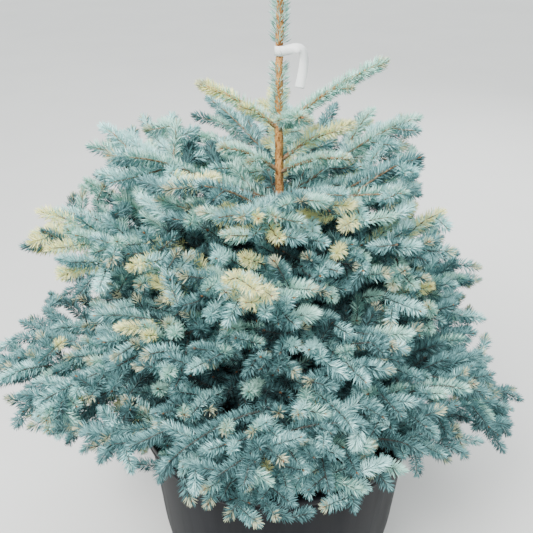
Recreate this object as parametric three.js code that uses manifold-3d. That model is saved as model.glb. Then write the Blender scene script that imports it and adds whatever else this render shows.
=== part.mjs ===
// Potted blue spruce: a young spruce with one straight leader, in a round black nursery pot.
// Millimetres, +Z up. The origin is the middle of the pot's flat underside, and the front is -Y.
// The trunk is one whole solid. Boughs leave it in whorls, and each bough carries one mass of foliage.

import * as THREE from 'three';
import { mergeVertices } from 'three/addons/utils/BufferGeometryUtils.js';
import Module from 'manifold-3d';

const wasm = await Module();
wasm.setup();

// Clear gap where one piece stands on or meets another, and the room foliage keeps inside its space.
const GAP = 0.3;
const MARGIN = 2.5;
const STEM_TIP_ROOM = 3.5;
const TRUNK_ROOM = 12;
const WELD = 1e-4;
// Slivers that fusing leaves are smoothed away up to this much.
const SIMPLER = 1.2;

// The pot is a tapered shell with a rounded foot and a rolled lip, filled with soil.
const POT = {
  footRadius: 207, cornerWidth: 25, cornerHeight: 40, bellyRadius: 246, bellyHeight: 150,
  neckRadius: 261, lipRadius: 272, lipDepth: 28, lipRound: 4, lipSlope: 1, height: 420, wall: 4,
};
const POT_SIDES = 32;
const CORNER_STEPS = 2;
const SOIL = { top: 396, edgeDrop: 7, flatRadius: 70 };

// The trunk runs from the soil to the leader's end bud. Each taper entry is height above soil, radius.
const TRUNK = {
  foot: SOIL.top + GAP, height: 850, leanX: -3, leanY: 7, swayX: 2.5, swayY: -1.25, sides: 10, steps: 24,
  ringSpacing: 1.4,
};
const TRUNK_TAPER = [[0, 22], [12, 19.5], [35, 17.5], [140, 14.5], [226, 12.4], [324, 10.2], [434, 8],
  [460, 6.9], [564, 6.4], [850, 4.6]];
const ROOT_FLARE = { lobes: 5, size: 0.2, height: 22 };
const END_BUD = { radius: 6, length: 16, sink: 5, sides: 8, rings: 5 };

// Needles that stand on the leader above the top whorl, each ring turned on from the one below.
const LEADER_NEEDLE = {
  from: 580, to: 846, step: 16, perRing: 3, turnOn: 0.382, length: 16, radius: 1.5, sink: 2.5, climb: 56,
};
// The label's band lies round the bark with a little slack.
const LABEL = { height: 682, width: 14.5, thickness: 0.9, slack: 0.8, steps: 14 };
// Middle line of the label's free tail, from the middle of its band, and the way its width lies.
const LABEL_TAIL = [[3, -7, 0], [15, -9.5, 3], [26, -9, 5], [34, -6, 1], [37, -5, -10], [36, -6, -28],
  [31, -9, -54]];
const LABEL_WIDTH_WAY = [[0, 0, 1], [0, 0.1, 1], [0.1, 0.5, 0.8], [0.6, 0.6, 0.5], [0.9, 0.4, 0], [1, 0.1, 0],
  [1, -0.2, -0.2]];

// Whorls of boughs. Height of a tier at radius r: whorl + rise r - fall r^2 / 1000, and droop past the rim.
// notch: how much the outline draws in between the boughs; front: how much it does over the pot's two front sides.
const TIERS = [
  { name: 'tier2', whorl: 830, rise: 0.42, fall: 0.30, droop: 0, reach: 300, skew: 0.6, inner: 0, bough: 0,
    count: 5, turn: 178, notch: 0.2, front: 0 },
  { name: 'tier3', whorl: 722, rise: 0.38, fall: 0.45, droop: 0, reach: 385, skew: 1.4, inner: 70, bough: 5.2,
    count: 5, turn: 192, notch: 0.42, front: 0 },
  { name: 'tier4', whorl: 624, rise: 0.30, fall: 0.48, droop: 0, reach: 395, skew: 0.4, inner: 80, bough: 6,
    count: 5, turn: 150, notch: 0.38, front: 0 },
  { name: 'tier5', whorl: 536, rise: 0.24, fall: 0.48, droop: 0, reach: 505, skew: 1, inner: 90, bough: 6.8,
    count: 5, turn: 190, notch: 0.18, front: 0 },
  { name: 'tier6', whorl: 458, rise: 0.24, fall: 0.75, droop: 2.6, reach: 496, skew: 0, inner: 96, bough: 7.2,
    count: 6, turn: 185, notch: 0.1, front: 0.3 },
];
const DROOP_FROM = 285;
const TURN_JITTER = 4;
// Least and most of how far a mass reaches, as a share of its tier's reach.
const VIGOUR = [0.96, 1.03];
// The crown reaches further to the left and the back than to the front: share of a tier's reach.
const OUTLINE = { mean: 0.9275, right: -0.13, back: 0.095, sides: 0.0725 };
// Room above the second tier, kept low beside the trunk for the shoots between the whorls.
const TOP_ROOM = { near: 24, from: 110, growth: 0.45 };
const BOTTOM_ROOM = 70;
const RIM_ROOM = 5;

// Boughs of one whorl leave the trunk at slightly different heights, as they do on a young spruce.
const BOUGH = {
  tipRadius: 4, collar: 1.2, collarEnds: 0.125, sides: 6, steps: 3, sway: 9, rootFade: 100,
  stagger: 3.6, staggerEnds: 60, middleRank: 2,
};
const STEM_RADIUS = 4;

// A spray is a slim four-sided core whose needles stand out in turn, sunk into the twig that bears it.
const SPRAY = {
  sides: 4, coreRadius: 8.5, baseRadius: 2.4, bare: 30, swell: 70, pitch: 38, twist: 0.012,
  needle: 25, needleLoss: 0.45, ahead: 20, aheadMost: 0.8, crossing: 520,
};
const BRANCHING = {
  firstNode: 22, topFirstNode: 35, pastNeedles: 4, nodeStep: 100, endRoom: 70,
  spread: 1.45, spreadLoss: 0.22, jitter: 6, curl: -0.0012, longest: 240, shortest: 67,
  lift: [0.6, 1], mostLift: 46, sideFrom: 0.4, sideSpread: 42, sideLongest: 125, bearsSide: 100,
  upright: 12, uprightSpread: 24, uprightLongest: 125, clear: 17, stride: 8, tipShare: 0.8,
};
// What a twig tries in turn: share of its length, share it turns in towards the stem, share of its lift.
const TRIES = [
  [1, 0, 1], [0.86, 0, 0.8], [1, 0, 0.6], [0.74, 0, 0.6], [1, 0.3, 0.6], [0.8, 0.3, 0.6], [0.8, 0.3, 0.2],
];

// Single shoots round the leader: height of the base on the trunk, bearing, and the tip's radius and height.
const TOP_SHOOTS = [
  { base: 957, bearing: 183, tipRadius: 124, tipHeight: 1030 },
  { base: 957, bearing: 357, tipRadius: 152, tipHeight: 1064 },
  { base: 954, bearing: 290, tipRadius: 78, tipHeight: 1000 },
  { base: 955, bearing: 100, tipRadius: 72, tipHeight: 1004 },
];
const SIDE_SHOOTS = [
  { base: 903, bearing: 6, tipRadius: 112, tipHeight: 962 },
  { base: 884, bearing: 326, tipRadius: 118, tipHeight: 934 },
  { base: 886, bearing: 190, tipRadius: 96, tipHeight: 934 },
  { base: 892, bearing: 96, tipRadius: 104, tipHeight: 944 },
];
const SHOOT = { arch: 9, start: 14, needle: 13, coreRadius: 4.5, baseRadius: 3, pitch: 12 };

const FULL_TURN = 2 * Math.PI;
// A path whose direction rises this steeply counts as upright.
const UPRIGHT = 0.97;
const PATH_STEP = 0.5;
const SEED = 4107;
const SEEDS_PER_TIER = 100;

const MATERIALS = {
  pot: new THREE.MeshStandardMaterial({ color: 0x24262b, roughness: 0.55, metalness: 0 }),
  soil: new THREE.MeshStandardMaterial({ color: 0x2c2119, roughness: 1, metalness: 0 }),
  bark: new THREE.MeshStandardMaterial({ color: 0x9a6a3c, roughness: 0.85, metalness: 0 }),
  needles: new THREE.MeshStandardMaterial({ color: 0x86aeb0, roughness: 0.7, metalness: 0 }),
  label: new THREE.MeshStandardMaterial({ color: 0xf2f2ef, roughness: 0.6, metalness: 0 }),
};

// Repeatable random numbers from 0 to 1.
function seeded(seed) {
  let state = seed >>> 0;
  return () => {
    state = (state + 0x6d2b79f5) >>> 0;
    let mixed = Math.imul(state ^ (state >>> 15), state | 1);
    mixed ^= mixed + Math.imul(mixed ^ (mixed >>> 7), mixed | 61);
    return ((mixed ^ (mixed >>> 14)) >>> 0) / 4294967296;
  };
}

function radians(degrees) {
  return degrees * FULL_TURN / 360;
}

function between(low, high, share) {
  return low + (high - low) * share;
}

// Value at x on a line through the [x, value] pairs.
function onLine(pairs, x) {
  const next = pairs.findIndex((pair) => pair[0] >= x);
  if (next < 0) return pairs[pairs.length - 1][1];
  if (next === 0) return pairs[0][1];
  const [lowX, low] = pairs[next - 1];
  const [highX, high] = pairs[next];
  return between(low, high, (x - lowX) / (highX - lowX));
}

// Weld a three.js geometry into one closed solid, without the faces that welding collapses.
function solidOf(geometry) {
  const bare = geometry.clone();
  bare.deleteAttribute('normal');
  bare.deleteAttribute('uv');
  const welded = mergeVertices(bare, WELD);
  const corners = welded.getIndex().array;
  const kept = [];
  for (let i = 0; i < corners.length; i += 3) {
    const [a, b, c] = [corners[i], corners[i + 1], corners[i + 2]];
    if (a !== b && b !== c && c !== a) kept.push(a, b, c);
  }
  return new wasm.Manifold(new wasm.Mesh({
    numProp: 3,
    vertProperties: new Float32Array(welded.getAttribute('position').array),
    triVerts: new Uint32Array(kept),
  }));
}

// Turn a solid back into a geometry with faceted shading.
function geometryOf(solid) {
  const mesh = solid.getMesh();
  const geometry = new THREE.BufferGeometry();
  geometry.setAttribute('position', new THREE.BufferAttribute(new Float32Array(mesh.vertProperties), 3));
  geometry.setIndex(new THREE.BufferAttribute(new Uint32Array(mesh.triVerts), 1));
  geometry.computeVertexNormals();
  return geometry;
}

// Directions across a path at distance s. On an upright path they are level, so that a flat cut is level too.
function frameOn(path, s) {
  const along = path(s + PATH_STEP).sub(path(s - PATH_STEP)).normalize();
  if (along.z > UPRIGHT) return { across: new THREE.Vector3(1, 0, 0), third: new THREE.Vector3(0, -1, 0) };
  const across = new THREE.Vector3(0, 0, 1).cross(along).normalize();
  const third = new THREE.Vector3().crossVectors(across, along);
  return { across, third };
}

// Lay a cylinder's rings along a path. shape(row, column) gives each point's distance, radius and angle.
function laid(sides, steps, path, shape) {
  const geometry = new THREE.CylinderGeometry(1, 1, 1, sides, steps);
  const points = geometry.getAttribute('position');
  for (let i = 0; i < points.count; i++) {
    const row = Math.round((points.getY(i) + 0.5) * steps);
    const turn = Math.round(Math.atan2(points.getX(i), points.getZ(i)) / FULL_TURN * sides);
    const column = (turn + sides) % sides;
    const onRim = Math.hypot(points.getX(i), points.getZ(i)) > 0.5 ? 1 : 0;
    const { distance, radius, angle } = shape(row, column);
    const { across, third } = frameOn(path, distance);
    const place = path(distance);
    place.addScaledVector(across, onRim * radius * Math.sin(angle));
    place.addScaledVector(third, onRim * radius * Math.cos(angle));
    points.setXYZ(i, place.x, place.y, place.z);
  }
  return geometry;
}

// A round limb along a path, whose radius follows radiusAt(share of length, angle).
function limb(path, length, sides, steps, radiusAt, spacing = (share) => share) {
  return laid(sides, steps, path, (row, column) => {
    const share = spacing(row / steps);
    const angle = column / sides * FULL_TURN;
    return { distance: share * length, radius: radiusAt(share, angle), angle };
  });
}

// Height of a tier's boughs at a radius.
function tierHeight(tier, radius) {
  const past = Math.max(0, radius - DROOP_FROM);
  return tier.whorl + tier.rise * radius - (tier.fall * radius ** 2 + tier.droop * past ** 2) / 1000;
}

// How far a tier reaches in a direction.
function tierReach(tier, bearing) {
  const sideways = tier.skew * OUTLINE.right * Math.cos(bearing) + OUTLINE.sides * Math.cos(2 * bearing);
  const share = OUTLINE.mean + sideways + OUTLINE.back * Math.sin(bearing);
  const front = tier.front * Math.max(0, -Math.sin(bearing)) * Math.abs(Math.cos(bearing));
  return tier.reach * (share - front);
}

// Upper and lower edge of a tier's layer: halfway to its neighbours.
function layerTop(index, radius) {
  const own = tierHeight(TIERS[index], radius);
  if (index > 0) return (own + tierHeight(TIERS[index - 1], radius)) / 2;
  return own + TOP_ROOM.near + TOP_ROOM.growth * Math.max(0, radius - TOP_ROOM.from);
}

function layerFoot(index, radius) {
  const own = tierHeight(TIERS[index], radius);
  if (index < TIERS.length - 1) return (own + tierHeight(TIERS[index + 1], radius)) / 2;
  const overPot = radius < POT.lipRadius + RIM_ROOM ? POT.height + RIM_ROOM : 0;
  return Math.max(own - BOTTOM_ROOM, overPot);
}

// Middle of the trunk at a height above the ground.
function trunkCentre(height) {
  const share = (height - TRUNK.foot) / TRUNK.height;
  const wave = Math.sin(share * FULL_TURN);
  const x = TRUNK.leanX * share + TRUNK.swayX * wave;
  const y = TRUNK.leanY * share + TRUNK.swayY * wave;
  return new THREE.Vector3(x, y, height);
}

function trunkRadius(height) {
  return onLine(TRUNK_TAPER, height - TRUNK.foot);
}

// Surface of the trunk, grown outward and downward by extra, from the soil to the leader's tip.
function trunkSurface(extra) {
  const path = (s) => trunkCentre(TRUNK.foot - extra + s);
  const radiusAt = (share, angle) => {
    const above = share * (TRUNK.height + extra) - extra;
    const fading = Math.exp(-Math.max(0, above) / ROOT_FLARE.height);
    const lobe = ROOT_FLARE.size * fading * Math.cos(ROOT_FLARE.lobes * angle);
    return onLine(TRUNK_TAPER, above) * (1 + lobe) + extra;
  };
  const spacing = (share) => share ** TRUNK.ringSpacing;
  return limb(path, TRUNK.height + extra, TRUNK.sides, TRUNK.steps, radiusAt, spacing);
}

// One needle of the leader: a three-sided point whose root is sunk in the bark.
function leaderNeedle(height, bearing) {
  const climb = radians(LEADER_NEEDLE.climb);
  const level = new THREE.Vector3(Math.cos(bearing), Math.sin(bearing), 0);
  const way = level.clone().multiplyScalar(Math.cos(climb));
  way.z = Math.sin(climb);
  const full = LEADER_NEEDLE.length + LEADER_NEEDLE.sink;
  const needle = new THREE.ConeGeometry(LEADER_NEEDLE.radius, full, 3);
  const root = trunkCentre(height);
  root.addScaledVector(level, trunkRadius(height) - LEADER_NEEDLE.sink);
  needle.applyQuaternion(new THREE.Quaternion().setFromUnitVectors(new THREE.Vector3(0, 1, 0), way));
  needle.translate(...root.addScaledVector(way, full / 2).toArray());
  return solidOf(needle);
}

// The trunk with its root flare, the leader's needles and its end bud. Under the label the bark is bare.
function makeTrunk() {
  let trunk = solidOf(trunkSurface(0));
  const bareFrom = TRUNK.foot + LABEL.height - LABEL.width / 2 - LEADER_NEEDLE.length;
  const bareTo = TRUNK.foot + LABEL.height + LABEL.width / 2 + LEADER_NEEDLE.radius;
  let ring = 0;
  for (let above = LEADER_NEEDLE.from; above < LEADER_NEEDLE.to; above += LEADER_NEEDLE.step) {
    ring += 1;
    for (let k = 0; k < LEADER_NEEDLE.perRing; k++) {
      const bearing = (k / LEADER_NEEDLE.perRing + ring * LEADER_NEEDLE.turnOn) * FULL_TURN;
      const height = TRUNK.foot + above + k * LEADER_NEEDLE.step / LEADER_NEEDLE.perRing;
      if (height > bareFrom && height < bareTo) continue;
      trunk = trunk.add(leaderNeedle(height, bearing));
    }
  }
  const bud = new THREE.SphereGeometry(END_BUD.radius, END_BUD.sides, END_BUD.rings);
  bud.rotateX(Math.PI / 2);
  bud.scale(1, 1, END_BUD.length / (2 * END_BUD.radius));
  const top = trunkCentre(TRUNK.foot + TRUNK.height);
  bud.translate(top.x, top.y, top.z + END_BUD.length / 2 - END_BUD.sink);
  return trunk.add(solidOf(bud));
}

// Points of the pot's side from its foot to its neck, drawn in by inset.
function potSide(inset) {
  const side = [];
  for (let k = 0; k <= CORNER_STEPS; k++) {
    const angle = k / CORNER_STEPS * FULL_TURN / 4;
    const radius = POT.footRadius + POT.cornerWidth * Math.sin(angle) - inset;
    side.push(new THREE.Vector2(radius, POT.cornerHeight * (1 - Math.cos(angle)) + inset));
  }
  side.push(new THREE.Vector2(POT.bellyRadius - inset, POT.bellyHeight));
  return side;
}

function lathed(profile) {
  const geometry = new THREE.LatheGeometry(profile, POT_SIDES);
  geometry.rotateX(Math.PI / 2);
  return solidOf(geometry);
}

function makePot() {
  const lipFoot = POT.height - POT.lipDepth;
  const inner = potSide(POT.wall).reverse();
  return lathed([
    new THREE.Vector2(0, 0),
    ...potSide(0),
    new THREE.Vector2(POT.neckRadius, lipFoot),
    new THREE.Vector2(POT.lipRadius - POT.lipRound / 2, lipFoot),
    new THREE.Vector2(POT.lipRadius, lipFoot + POT.lipRound),
    new THREE.Vector2(POT.lipRadius, POT.height - POT.lipRound),
    new THREE.Vector2(POT.lipRadius - POT.lipRound, POT.height),
    new THREE.Vector2(POT.neckRadius, POT.height - POT.lipSlope),
    new THREE.Vector2(POT.neckRadius - POT.wall, lipFoot),
    ...inner,
    new THREE.Vector2(0, POT.wall),
  ]);
}

function makeSoil() {
  const inset = POT.wall + GAP;
  const edge = SOIL.top - SOIL.edgeDrop;
  const side = potSide(inset);
  const lipFoot = POT.height - POT.lipDepth;
  const share = (edge - POT.bellyHeight) / (lipFoot - POT.bellyHeight);
  const edgeRadius = between(POT.bellyRadius, POT.neckRadius, share) - inset;
  return lathed([
    new THREE.Vector2(0, inset),
    ...side,
    new THREE.Vector2(edgeRadius, edge),
    new THREE.Vector2(SOIL.flatRadius, SOIL.top),
    new THREE.Vector2(0, SOIL.top),
  ]);
}

// The label: a band round the leader and a tail that arches over to the right and hangs.
function makeLabel() {
  const middle = TRUNK.foot + LABEL.height;
  const ring = (extra, width) => {
    const path = (s) => trunkCentre(middle - width / 2 + s);
    return solidOf(limb(path, width, TRUNK.sides * 2, 1, () => trunkRadius(middle) + extra));
  };
  const outside = ring(LABEL.slack + LABEL.thickness, LABEL.width);
  const band = outside.subtract(ring(LABEL.slack, LABEL.width * 2));
  const centre = trunkCentre(middle);
  const points = LABEL_TAIL.map((point) => new THREE.Vector3(...point).add(centre));
  const line = new THREE.CatmullRomCurve3(points);
  const ways = new THREE.CatmullRomCurve3(LABEL_WIDTH_WAY.map((way) => new THREE.Vector3(...way)));
  const strip = new THREE.BoxGeometry(1, 1, 1, LABEL.steps, 1, 1);
  const corners = strip.getAttribute('position');
  for (let i = 0; i < corners.count; i++) {
    const share = Math.round((corners.getX(i) + 0.5) * LABEL.steps) / LABEL.steps;
    const along = line.getTangent(share);
    const width = ways.getPoint(share);
    width.addScaledVector(along, -width.dot(along)).normalize();
    const face = new THREE.Vector3().crossVectors(along, width);
    const place = line.getPoint(share);
    place.addScaledVector(width, corners.getY(i) * LABEL.width);
    place.addScaledVector(face, corners.getZ(i) * LABEL.thickness);
    corners.setXYZ(i, place.x, place.y, place.z);
  }
  return band.add(solidOf(strip));
}

// A spray of needles along a path: past its bare foot, every other point of the core's rings is drawn out
// into a needle.
function spray(path, length, size) {
  const { sides } = size;
  const rings = Math.max(2, Math.round((length - size.bare) / size.pitch));
  const pitch = (length - size.bare) / rings;
  const steps = rings + 1;
  const standsOut = (row, column) => row > 1 && row < steps && (row + column) % 2 === 0;
  const geometry = laid(sides, steps, path, (row, column) => {
    const along = row === 0 ? 0 : size.bare + (row - 1) * pitch;
    const swollen = Math.min(1, along / size.swell);
    const core = row === steps ? 0 : between(size.baseRadius, size.coreRadius, swollen);
    const needle = size.needle * (1 - size.needleLoss * (along / length) ** 3);
    const out = standsOut(row, column);
    return {
      distance: along + (out ? Math.min(size.ahead, pitch * size.aheadMost) : 0),
      radius: core + (out ? needle : 0),
      angle: column / sides * FULL_TURN + size.twist * along,
    };
  });
  // Split each four-cornered face between its core points, so that every needle is a point of its own.
  const corners = geometry.getIndex();
  for (let column = 0; column < sides; column++) {
    for (let below = 0; below < steps; below++) {
      if ((steps - below - 1 + column) % 2 !== 0) continue;
      const first = 6 * (column * steps + below);
      const [a, b, d, c] = [0, 1, 2, 4].map((k) => corners.getX(first + k));
      [a, b, c, a, c, d].forEach((corner, k) => corners.setX(first + k, corner));
    }
  }
  return geometry;
}

// The space of one mass: its sector between two bearings, its tier's layer, and the crown's outline.
function roomLeft(mass, point) {
  const radius = Math.hypot(point.x, point.y);
  const bearing = Math.atan2(point.y, point.x);
  const sector = Math.min(radius * Math.sin(mass.to - bearing), radius * Math.sin(bearing - mass.from));
  const layer = Math.min(layerTop(mass.index, radius) - point.z, point.z - layerFoot(mass.index, radius));
  const notch = 1 - mass.tier.notch * Math.abs(Math.sin(bearing - mass.bearing));
  const outline = tierReach(mass.tier, bearing) * mass.vigour * notch - radius;
  const trunk = radius - trunkRadius(point.z) - TRUNK_ROOM;
  return Math.min(sector, layer, outline, trunk);
}

// A spray fits if all its points lie in the mass's space.
function fits(mass, geometry) {
  const points = geometry.getAttribute('position');
  const point = new THREE.Vector3();
  for (let i = 0; i < points.count; i++) {
    point.fromBufferAttribute(points, i);
    if (roomLeft(mass, point) < MARGIN) return false;
  }
  return true;
}

// A twig's path over its tier: a level course by heading and curl, at the height of the tier's boughs plus
// a lift that goes from low at its foot to high at its tip, quickly at first.
function twigPath(tier, start, course, length, low, high) {
  return (s) => {
    const way = course.heading + course.curl * s / 2;
    const x = start.x + s * Math.cos(way);
    const y = start.y + s * Math.sin(way);
    const rest = 1 - Math.max(0, s) / length;
    return new THREE.Vector3(x, y, tierHeight(tier, Math.hypot(x, y)) + between(high, low, rest ** 2));
  };
}

// Longest stretch of a level path whose middle keeps clear inside the space, up to a limit.
function roomAhead(mass, start, course, lift, limit) {
  const path = twigPath(mass.tier, start, course, limit, lift, lift);
  let length = BRANCHING.shortest / 2;
  while (length < limit && roomLeft(mass, path(length)) > BRANCHING.clear) length += BRANCHING.stride;
  return Math.min(length, limit);
}

// Lift of a twig's tip at a share of the layer's room above (+1) or below (-1) its tier's surface.
function tipLift(mass, start, course, length, share) {
  const x = start.x + length * Math.cos(course.heading);
  const y = start.y + length * Math.sin(course.heading);
  const radius = Math.hypot(x, y);
  const edge = share > 0 ? layerTop(mass.index, radius) : layerFoot(mass.index, radius);
  const room = Math.abs(edge - tierHeight(mass.tier, radius)) - SPRAY.needle * BRANCHING.tipShare;
  return share * Math.min(BRANCHING.mostLift, Math.max(0, room));
}

// Grow one twig from a point: full length or shorter, then turned in towards the stem, and none where its
// spray would leave the space or run through another one.
function grow(mass, start, course, lift, share, limit) {
  for (const [part, turnedIn, lifted] of TRIES) {
    const heading = between(course.heading, mass.bearing, turnedIn);
    const tried = { heading, curl: course.curl };
    const length = roomAhead(mass, start, tried, lift, limit) * part;
    if (length < BRANCHING.shortest) continue;
    const high = tipLift(mass, start, tried, length, share) * lifted;
    const path = twigPath(mass.tier, start, tried, length, lift, high);
    const geometry = spray(path, length, SPRAY);
    if (!fits(mass, geometry)) continue;
    const solid = solidOf(geometry);
    if (mass.whole.intersect(solid).volume() > SPRAY.crossing) continue;
    mass.whole = mass.whole.add(solid);
    return { path, length, liftAt: (s) => between(high, lift, (1 - s / length) ** 2) };
  }
  return null;
}

// The boughs of a tier, each with the sector of the mass it carries.
function massesOf(index) {
  const tier = TIERS[index];
  const random = seeded(SEED + index);
  const step = FULL_TURN / tier.count;
  const bearings = [];
  for (let k = 0; k < tier.count; k++) {
    bearings.push(radians(tier.turn) + k * step + radians(between(-TURN_JITTER, TURN_JITTER, random())));
  }
  return bearings.map((bearing, k) => {
    const before = k === 0 ? bearings[tier.count - 1] - FULL_TURN : bearings[k - 1];
    const after = k === tier.count - 1 ? bearings[0] + FULL_TURN : bearings[k + 1];
    return {
      index,
      tier,
      bearing,
      number: k + 1,
      from: (before + bearing) / 2,
      to: (bearing + after) / 2,
      vigour: between(VIGOUR[0], VIGOUR[1], random()),
      bow: between(-1, 1, random()),
      seed: SEED + SEEDS_PER_TIER * (index + 1) + k,
    };
  });
}

// Middle line of a bough and of the stem that goes on from it, by distance over the ground from the trunk.
function boughPath(mass) {
  const root = trunkCentre(mass.tier.whorl);
  const rank = (mass.number * 2) % mass.tier.count - BOUGH.middleRank;
  return (s) => {
    const aside = mass.bow * BOUGH.sway * Math.sin(Math.min(1, s / mass.tier.reach) * Math.PI);
    const nearRoot = Math.max(0, 1 - s / BOUGH.rootFade);
    const x = root.x * nearRoot + s * Math.cos(mass.bearing) - aside * Math.sin(mass.bearing);
    const y = root.y * nearRoot + s * Math.sin(mass.bearing) + aside * Math.cos(mass.bearing);
    const offset = rank * BOUGH.stagger * Math.exp(-Math.max(0, s) / BOUGH.staggerEnds);
    return new THREE.Vector3(x, y, tierHeight(mass.tier, s) + offset);
  };
}

// A bough tapers from its collar on the trunk to the flat end where it enters its mass.
function makeBough(mass, clearOfTrunk) {
  const radiusAt = (share) => {
    const collar = 1 + (BOUGH.collar - 1) * Math.exp(-share / BOUGH.collarEnds);
    return between(mass.tier.bough, BOUGH.tipRadius, share) * collar;
  };
  const bough = limb(boughPath(mass), mass.tier.inner, BOUGH.sides, BOUGH.steps, radiusAt);
  return solidOf(bough).subtract(clearOfTrunk);
}

// A mass of foliage: one stem, twigs that branch from it by the seeded rule, and their sprays. The top tier's
// stems leave the trunk themselves.
function makeMass(mass, clearOfTrunk) {
  const random = seeded(mass.seed);
  const path = boughPath(mass);
  const onBough = mass.tier.inner > 0;
  const begin = onBough ? mass.tier.inner + GAP : 0;
  const stemPath = (s) => path(begin + s);
  const length = tierReach(mass.tier, mass.bearing) * mass.vigour - STEM_TIP_ROOM - begin;
  const firstNeedles = onBough ? BRANCHING.firstNode : BRANCHING.topFirstNode;
  const firstNode = firstNeedles + BRANCHING.pastNeedles;
  mass.whole = solidOf(spray(stemPath, length, { ...SPRAY, bare: firstNeedles, baseRadius: STEM_RADIUS }));
  let spread = BRANCHING.spread;
  const halfSector = Math.PI / mass.tier.count;
  let rising = mass.number % 2 === 0 ? 1 : -1;
  for (let node = firstNode; node < length - BRANCHING.endRoom; node += BRANCHING.nodeStep) {
    for (const side of [1, -1]) {
      const [low, high] = BRANCHING.lift;
      const aside = spread * halfSector + radians(between(-1, 1, random()) * BRANCHING.jitter);
      const heading = mass.bearing + side * aside;
      const share = rising * side * between(low, high, random());
      const sideShare = -share * between(low, high, random());
      const turn = random() < 0.5 ? 1 : -1;
      const course = { heading, curl: side * BRANCHING.curl };
      const twig = grow(mass, stemPath(node), course, 0, share, BRANCHING.longest);
      if (!twig || twig.length < BRANCHING.bearsSide) continue;
      const at = twig.length * BRANCHING.sideFrom;
      const sideCourse = { heading: heading + turn * radians(BRANCHING.sideSpread), curl: 0 };
      grow(mass, twig.path(at), sideCourse, twig.liftAt(at), sideShare, BRANCHING.sideLongest);
    }
    for (const way of [1, -1]) {
      const course = { heading: mass.bearing + way * rising * radians(BRANCHING.uprightSpread), curl: 0 };
      grow(mass, stemPath(node + BRANCHING.upright), course, 0, way, BRANCHING.uprightLongest);
    }
    spread -= BRANCHING.spreadLoss;
    rising = -rising;
  }
  const whole = mass.whole.asOriginal().simplify(SIMPLER);
  return onBough ? whole : whole.subtract(clearOfTrunk);
}

// A single shoot that leaves the trunk: a short stem and one spray, arched over towards its tip.
function makeShoot(shoot, clearOfTrunk) {
  const bearing = radians(shoot.bearing);
  const root = trunkCentre(shoot.base);
  const tip = new THREE.Vector3(Math.cos(bearing), Math.sin(bearing), 0).multiplyScalar(shoot.tipRadius);
  tip.z = shoot.tipHeight;
  const length = root.distanceTo(tip);
  const path = (s) => {
    const share = s / length;
    const place = root.clone().lerp(tip, share);
    place.z += SHOOT.arch * Math.sin(Math.max(0, share) * Math.PI);
    return place;
  };
  const bare = trunkRadius(shoot.base) + SHOOT.start;
  return solidOf(spray(path, length, { ...SPRAY, ...SHOOT, bare })).subtract(clearOfTrunk);
}

function named(name, solid, material) {
  const mesh = new THREE.Mesh(geometryOf(solid), material.clone());
  mesh.name = name;
  return mesh;
}

function makeSpruce() {
  const spruce = new THREE.Group();
  const clearOfTrunk = solidOf(trunkSurface(GAP));
  spruce.add(named('pot', makePot(), MATERIALS.pot));
  spruce.add(named('soil', makeSoil(), MATERIALS.soil));
  spruce.add(named('trunk', makeTrunk(), MATERIALS.bark));
  spruce.add(named('label', makeLabel(), MATERIALS.label));
  TOP_SHOOTS.forEach((shoot, k) => {
    spruce.add(named(`top_shoot_${k + 1}`, makeShoot(shoot, clearOfTrunk), MATERIALS.needles));
  });
  SIDE_SHOOTS.forEach((shoot, k) => {
    spruce.add(named(`side_shoot_${k + 1}`, makeShoot(shoot, clearOfTrunk), MATERIALS.needles));
  });
  TIERS.forEach((tier, index) => {
    for (const mass of massesOf(index)) {
      const place = `${tier.name}_${mass.number}`;
      if (tier.inner > 0) spruce.add(named(`bough_${place}`, makeBough(mass, clearOfTrunk), MATERIALS.bark));
      spruce.add(named(`foliage_${place}`, makeMass(mass, clearOfTrunk), MATERIALS.needles));
    }
  });
  return spruce;
}

export default makeSpruce();
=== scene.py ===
"""Potted blue spruce: bark, twigs, needles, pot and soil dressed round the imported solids, in metres.

The crown grows again here by the rule that its solids grew by, from the same sizes and seeds. The rule is
carried on to finer twigs and to single needles, within the same reach.
"""

import logging
import math
from collections.abc import Callable, Sequence
from dataclasses import dataclass, field, replace
from enum import Enum

import bpy
import numpy as np
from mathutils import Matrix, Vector


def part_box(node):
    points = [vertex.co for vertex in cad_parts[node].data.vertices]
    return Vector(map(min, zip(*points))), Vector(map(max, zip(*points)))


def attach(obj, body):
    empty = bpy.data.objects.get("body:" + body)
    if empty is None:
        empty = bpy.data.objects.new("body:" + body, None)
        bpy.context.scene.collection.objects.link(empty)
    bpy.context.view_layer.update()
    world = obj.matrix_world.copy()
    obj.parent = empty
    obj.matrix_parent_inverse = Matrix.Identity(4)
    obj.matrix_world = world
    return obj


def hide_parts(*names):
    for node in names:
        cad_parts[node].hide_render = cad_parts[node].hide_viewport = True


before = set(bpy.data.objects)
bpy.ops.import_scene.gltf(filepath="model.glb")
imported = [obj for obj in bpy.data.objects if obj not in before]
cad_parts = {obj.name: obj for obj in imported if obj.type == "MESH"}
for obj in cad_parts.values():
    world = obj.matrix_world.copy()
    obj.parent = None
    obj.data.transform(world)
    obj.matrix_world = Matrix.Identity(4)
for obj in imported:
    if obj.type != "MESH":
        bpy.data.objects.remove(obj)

LOG = logging.getLogger("spruce")
BODY = "root"
FULL_TURN = 2 * math.pi
GOLDEN_TURN = FULL_TURN * 0.381966
UP = np.array([0.0, 0.0, 1.0])
WORD = 0xFFFFFFFF
SEED = 4107
SEEDS_PER_TIER = 100
FINE_SEEDS = 50000
CRUMB_SEED = SEED + 5
CHIP_SEED = SEED + 6
INNER_SEED = SEED + 8
LEADER_SEED = SEED + 9
PIECE_LIMIT = 150000
# Share of a piece that may be missing when the next mass starts a new one.
PIECE_SLACK = 0.25
TINY = 1e-12
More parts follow.
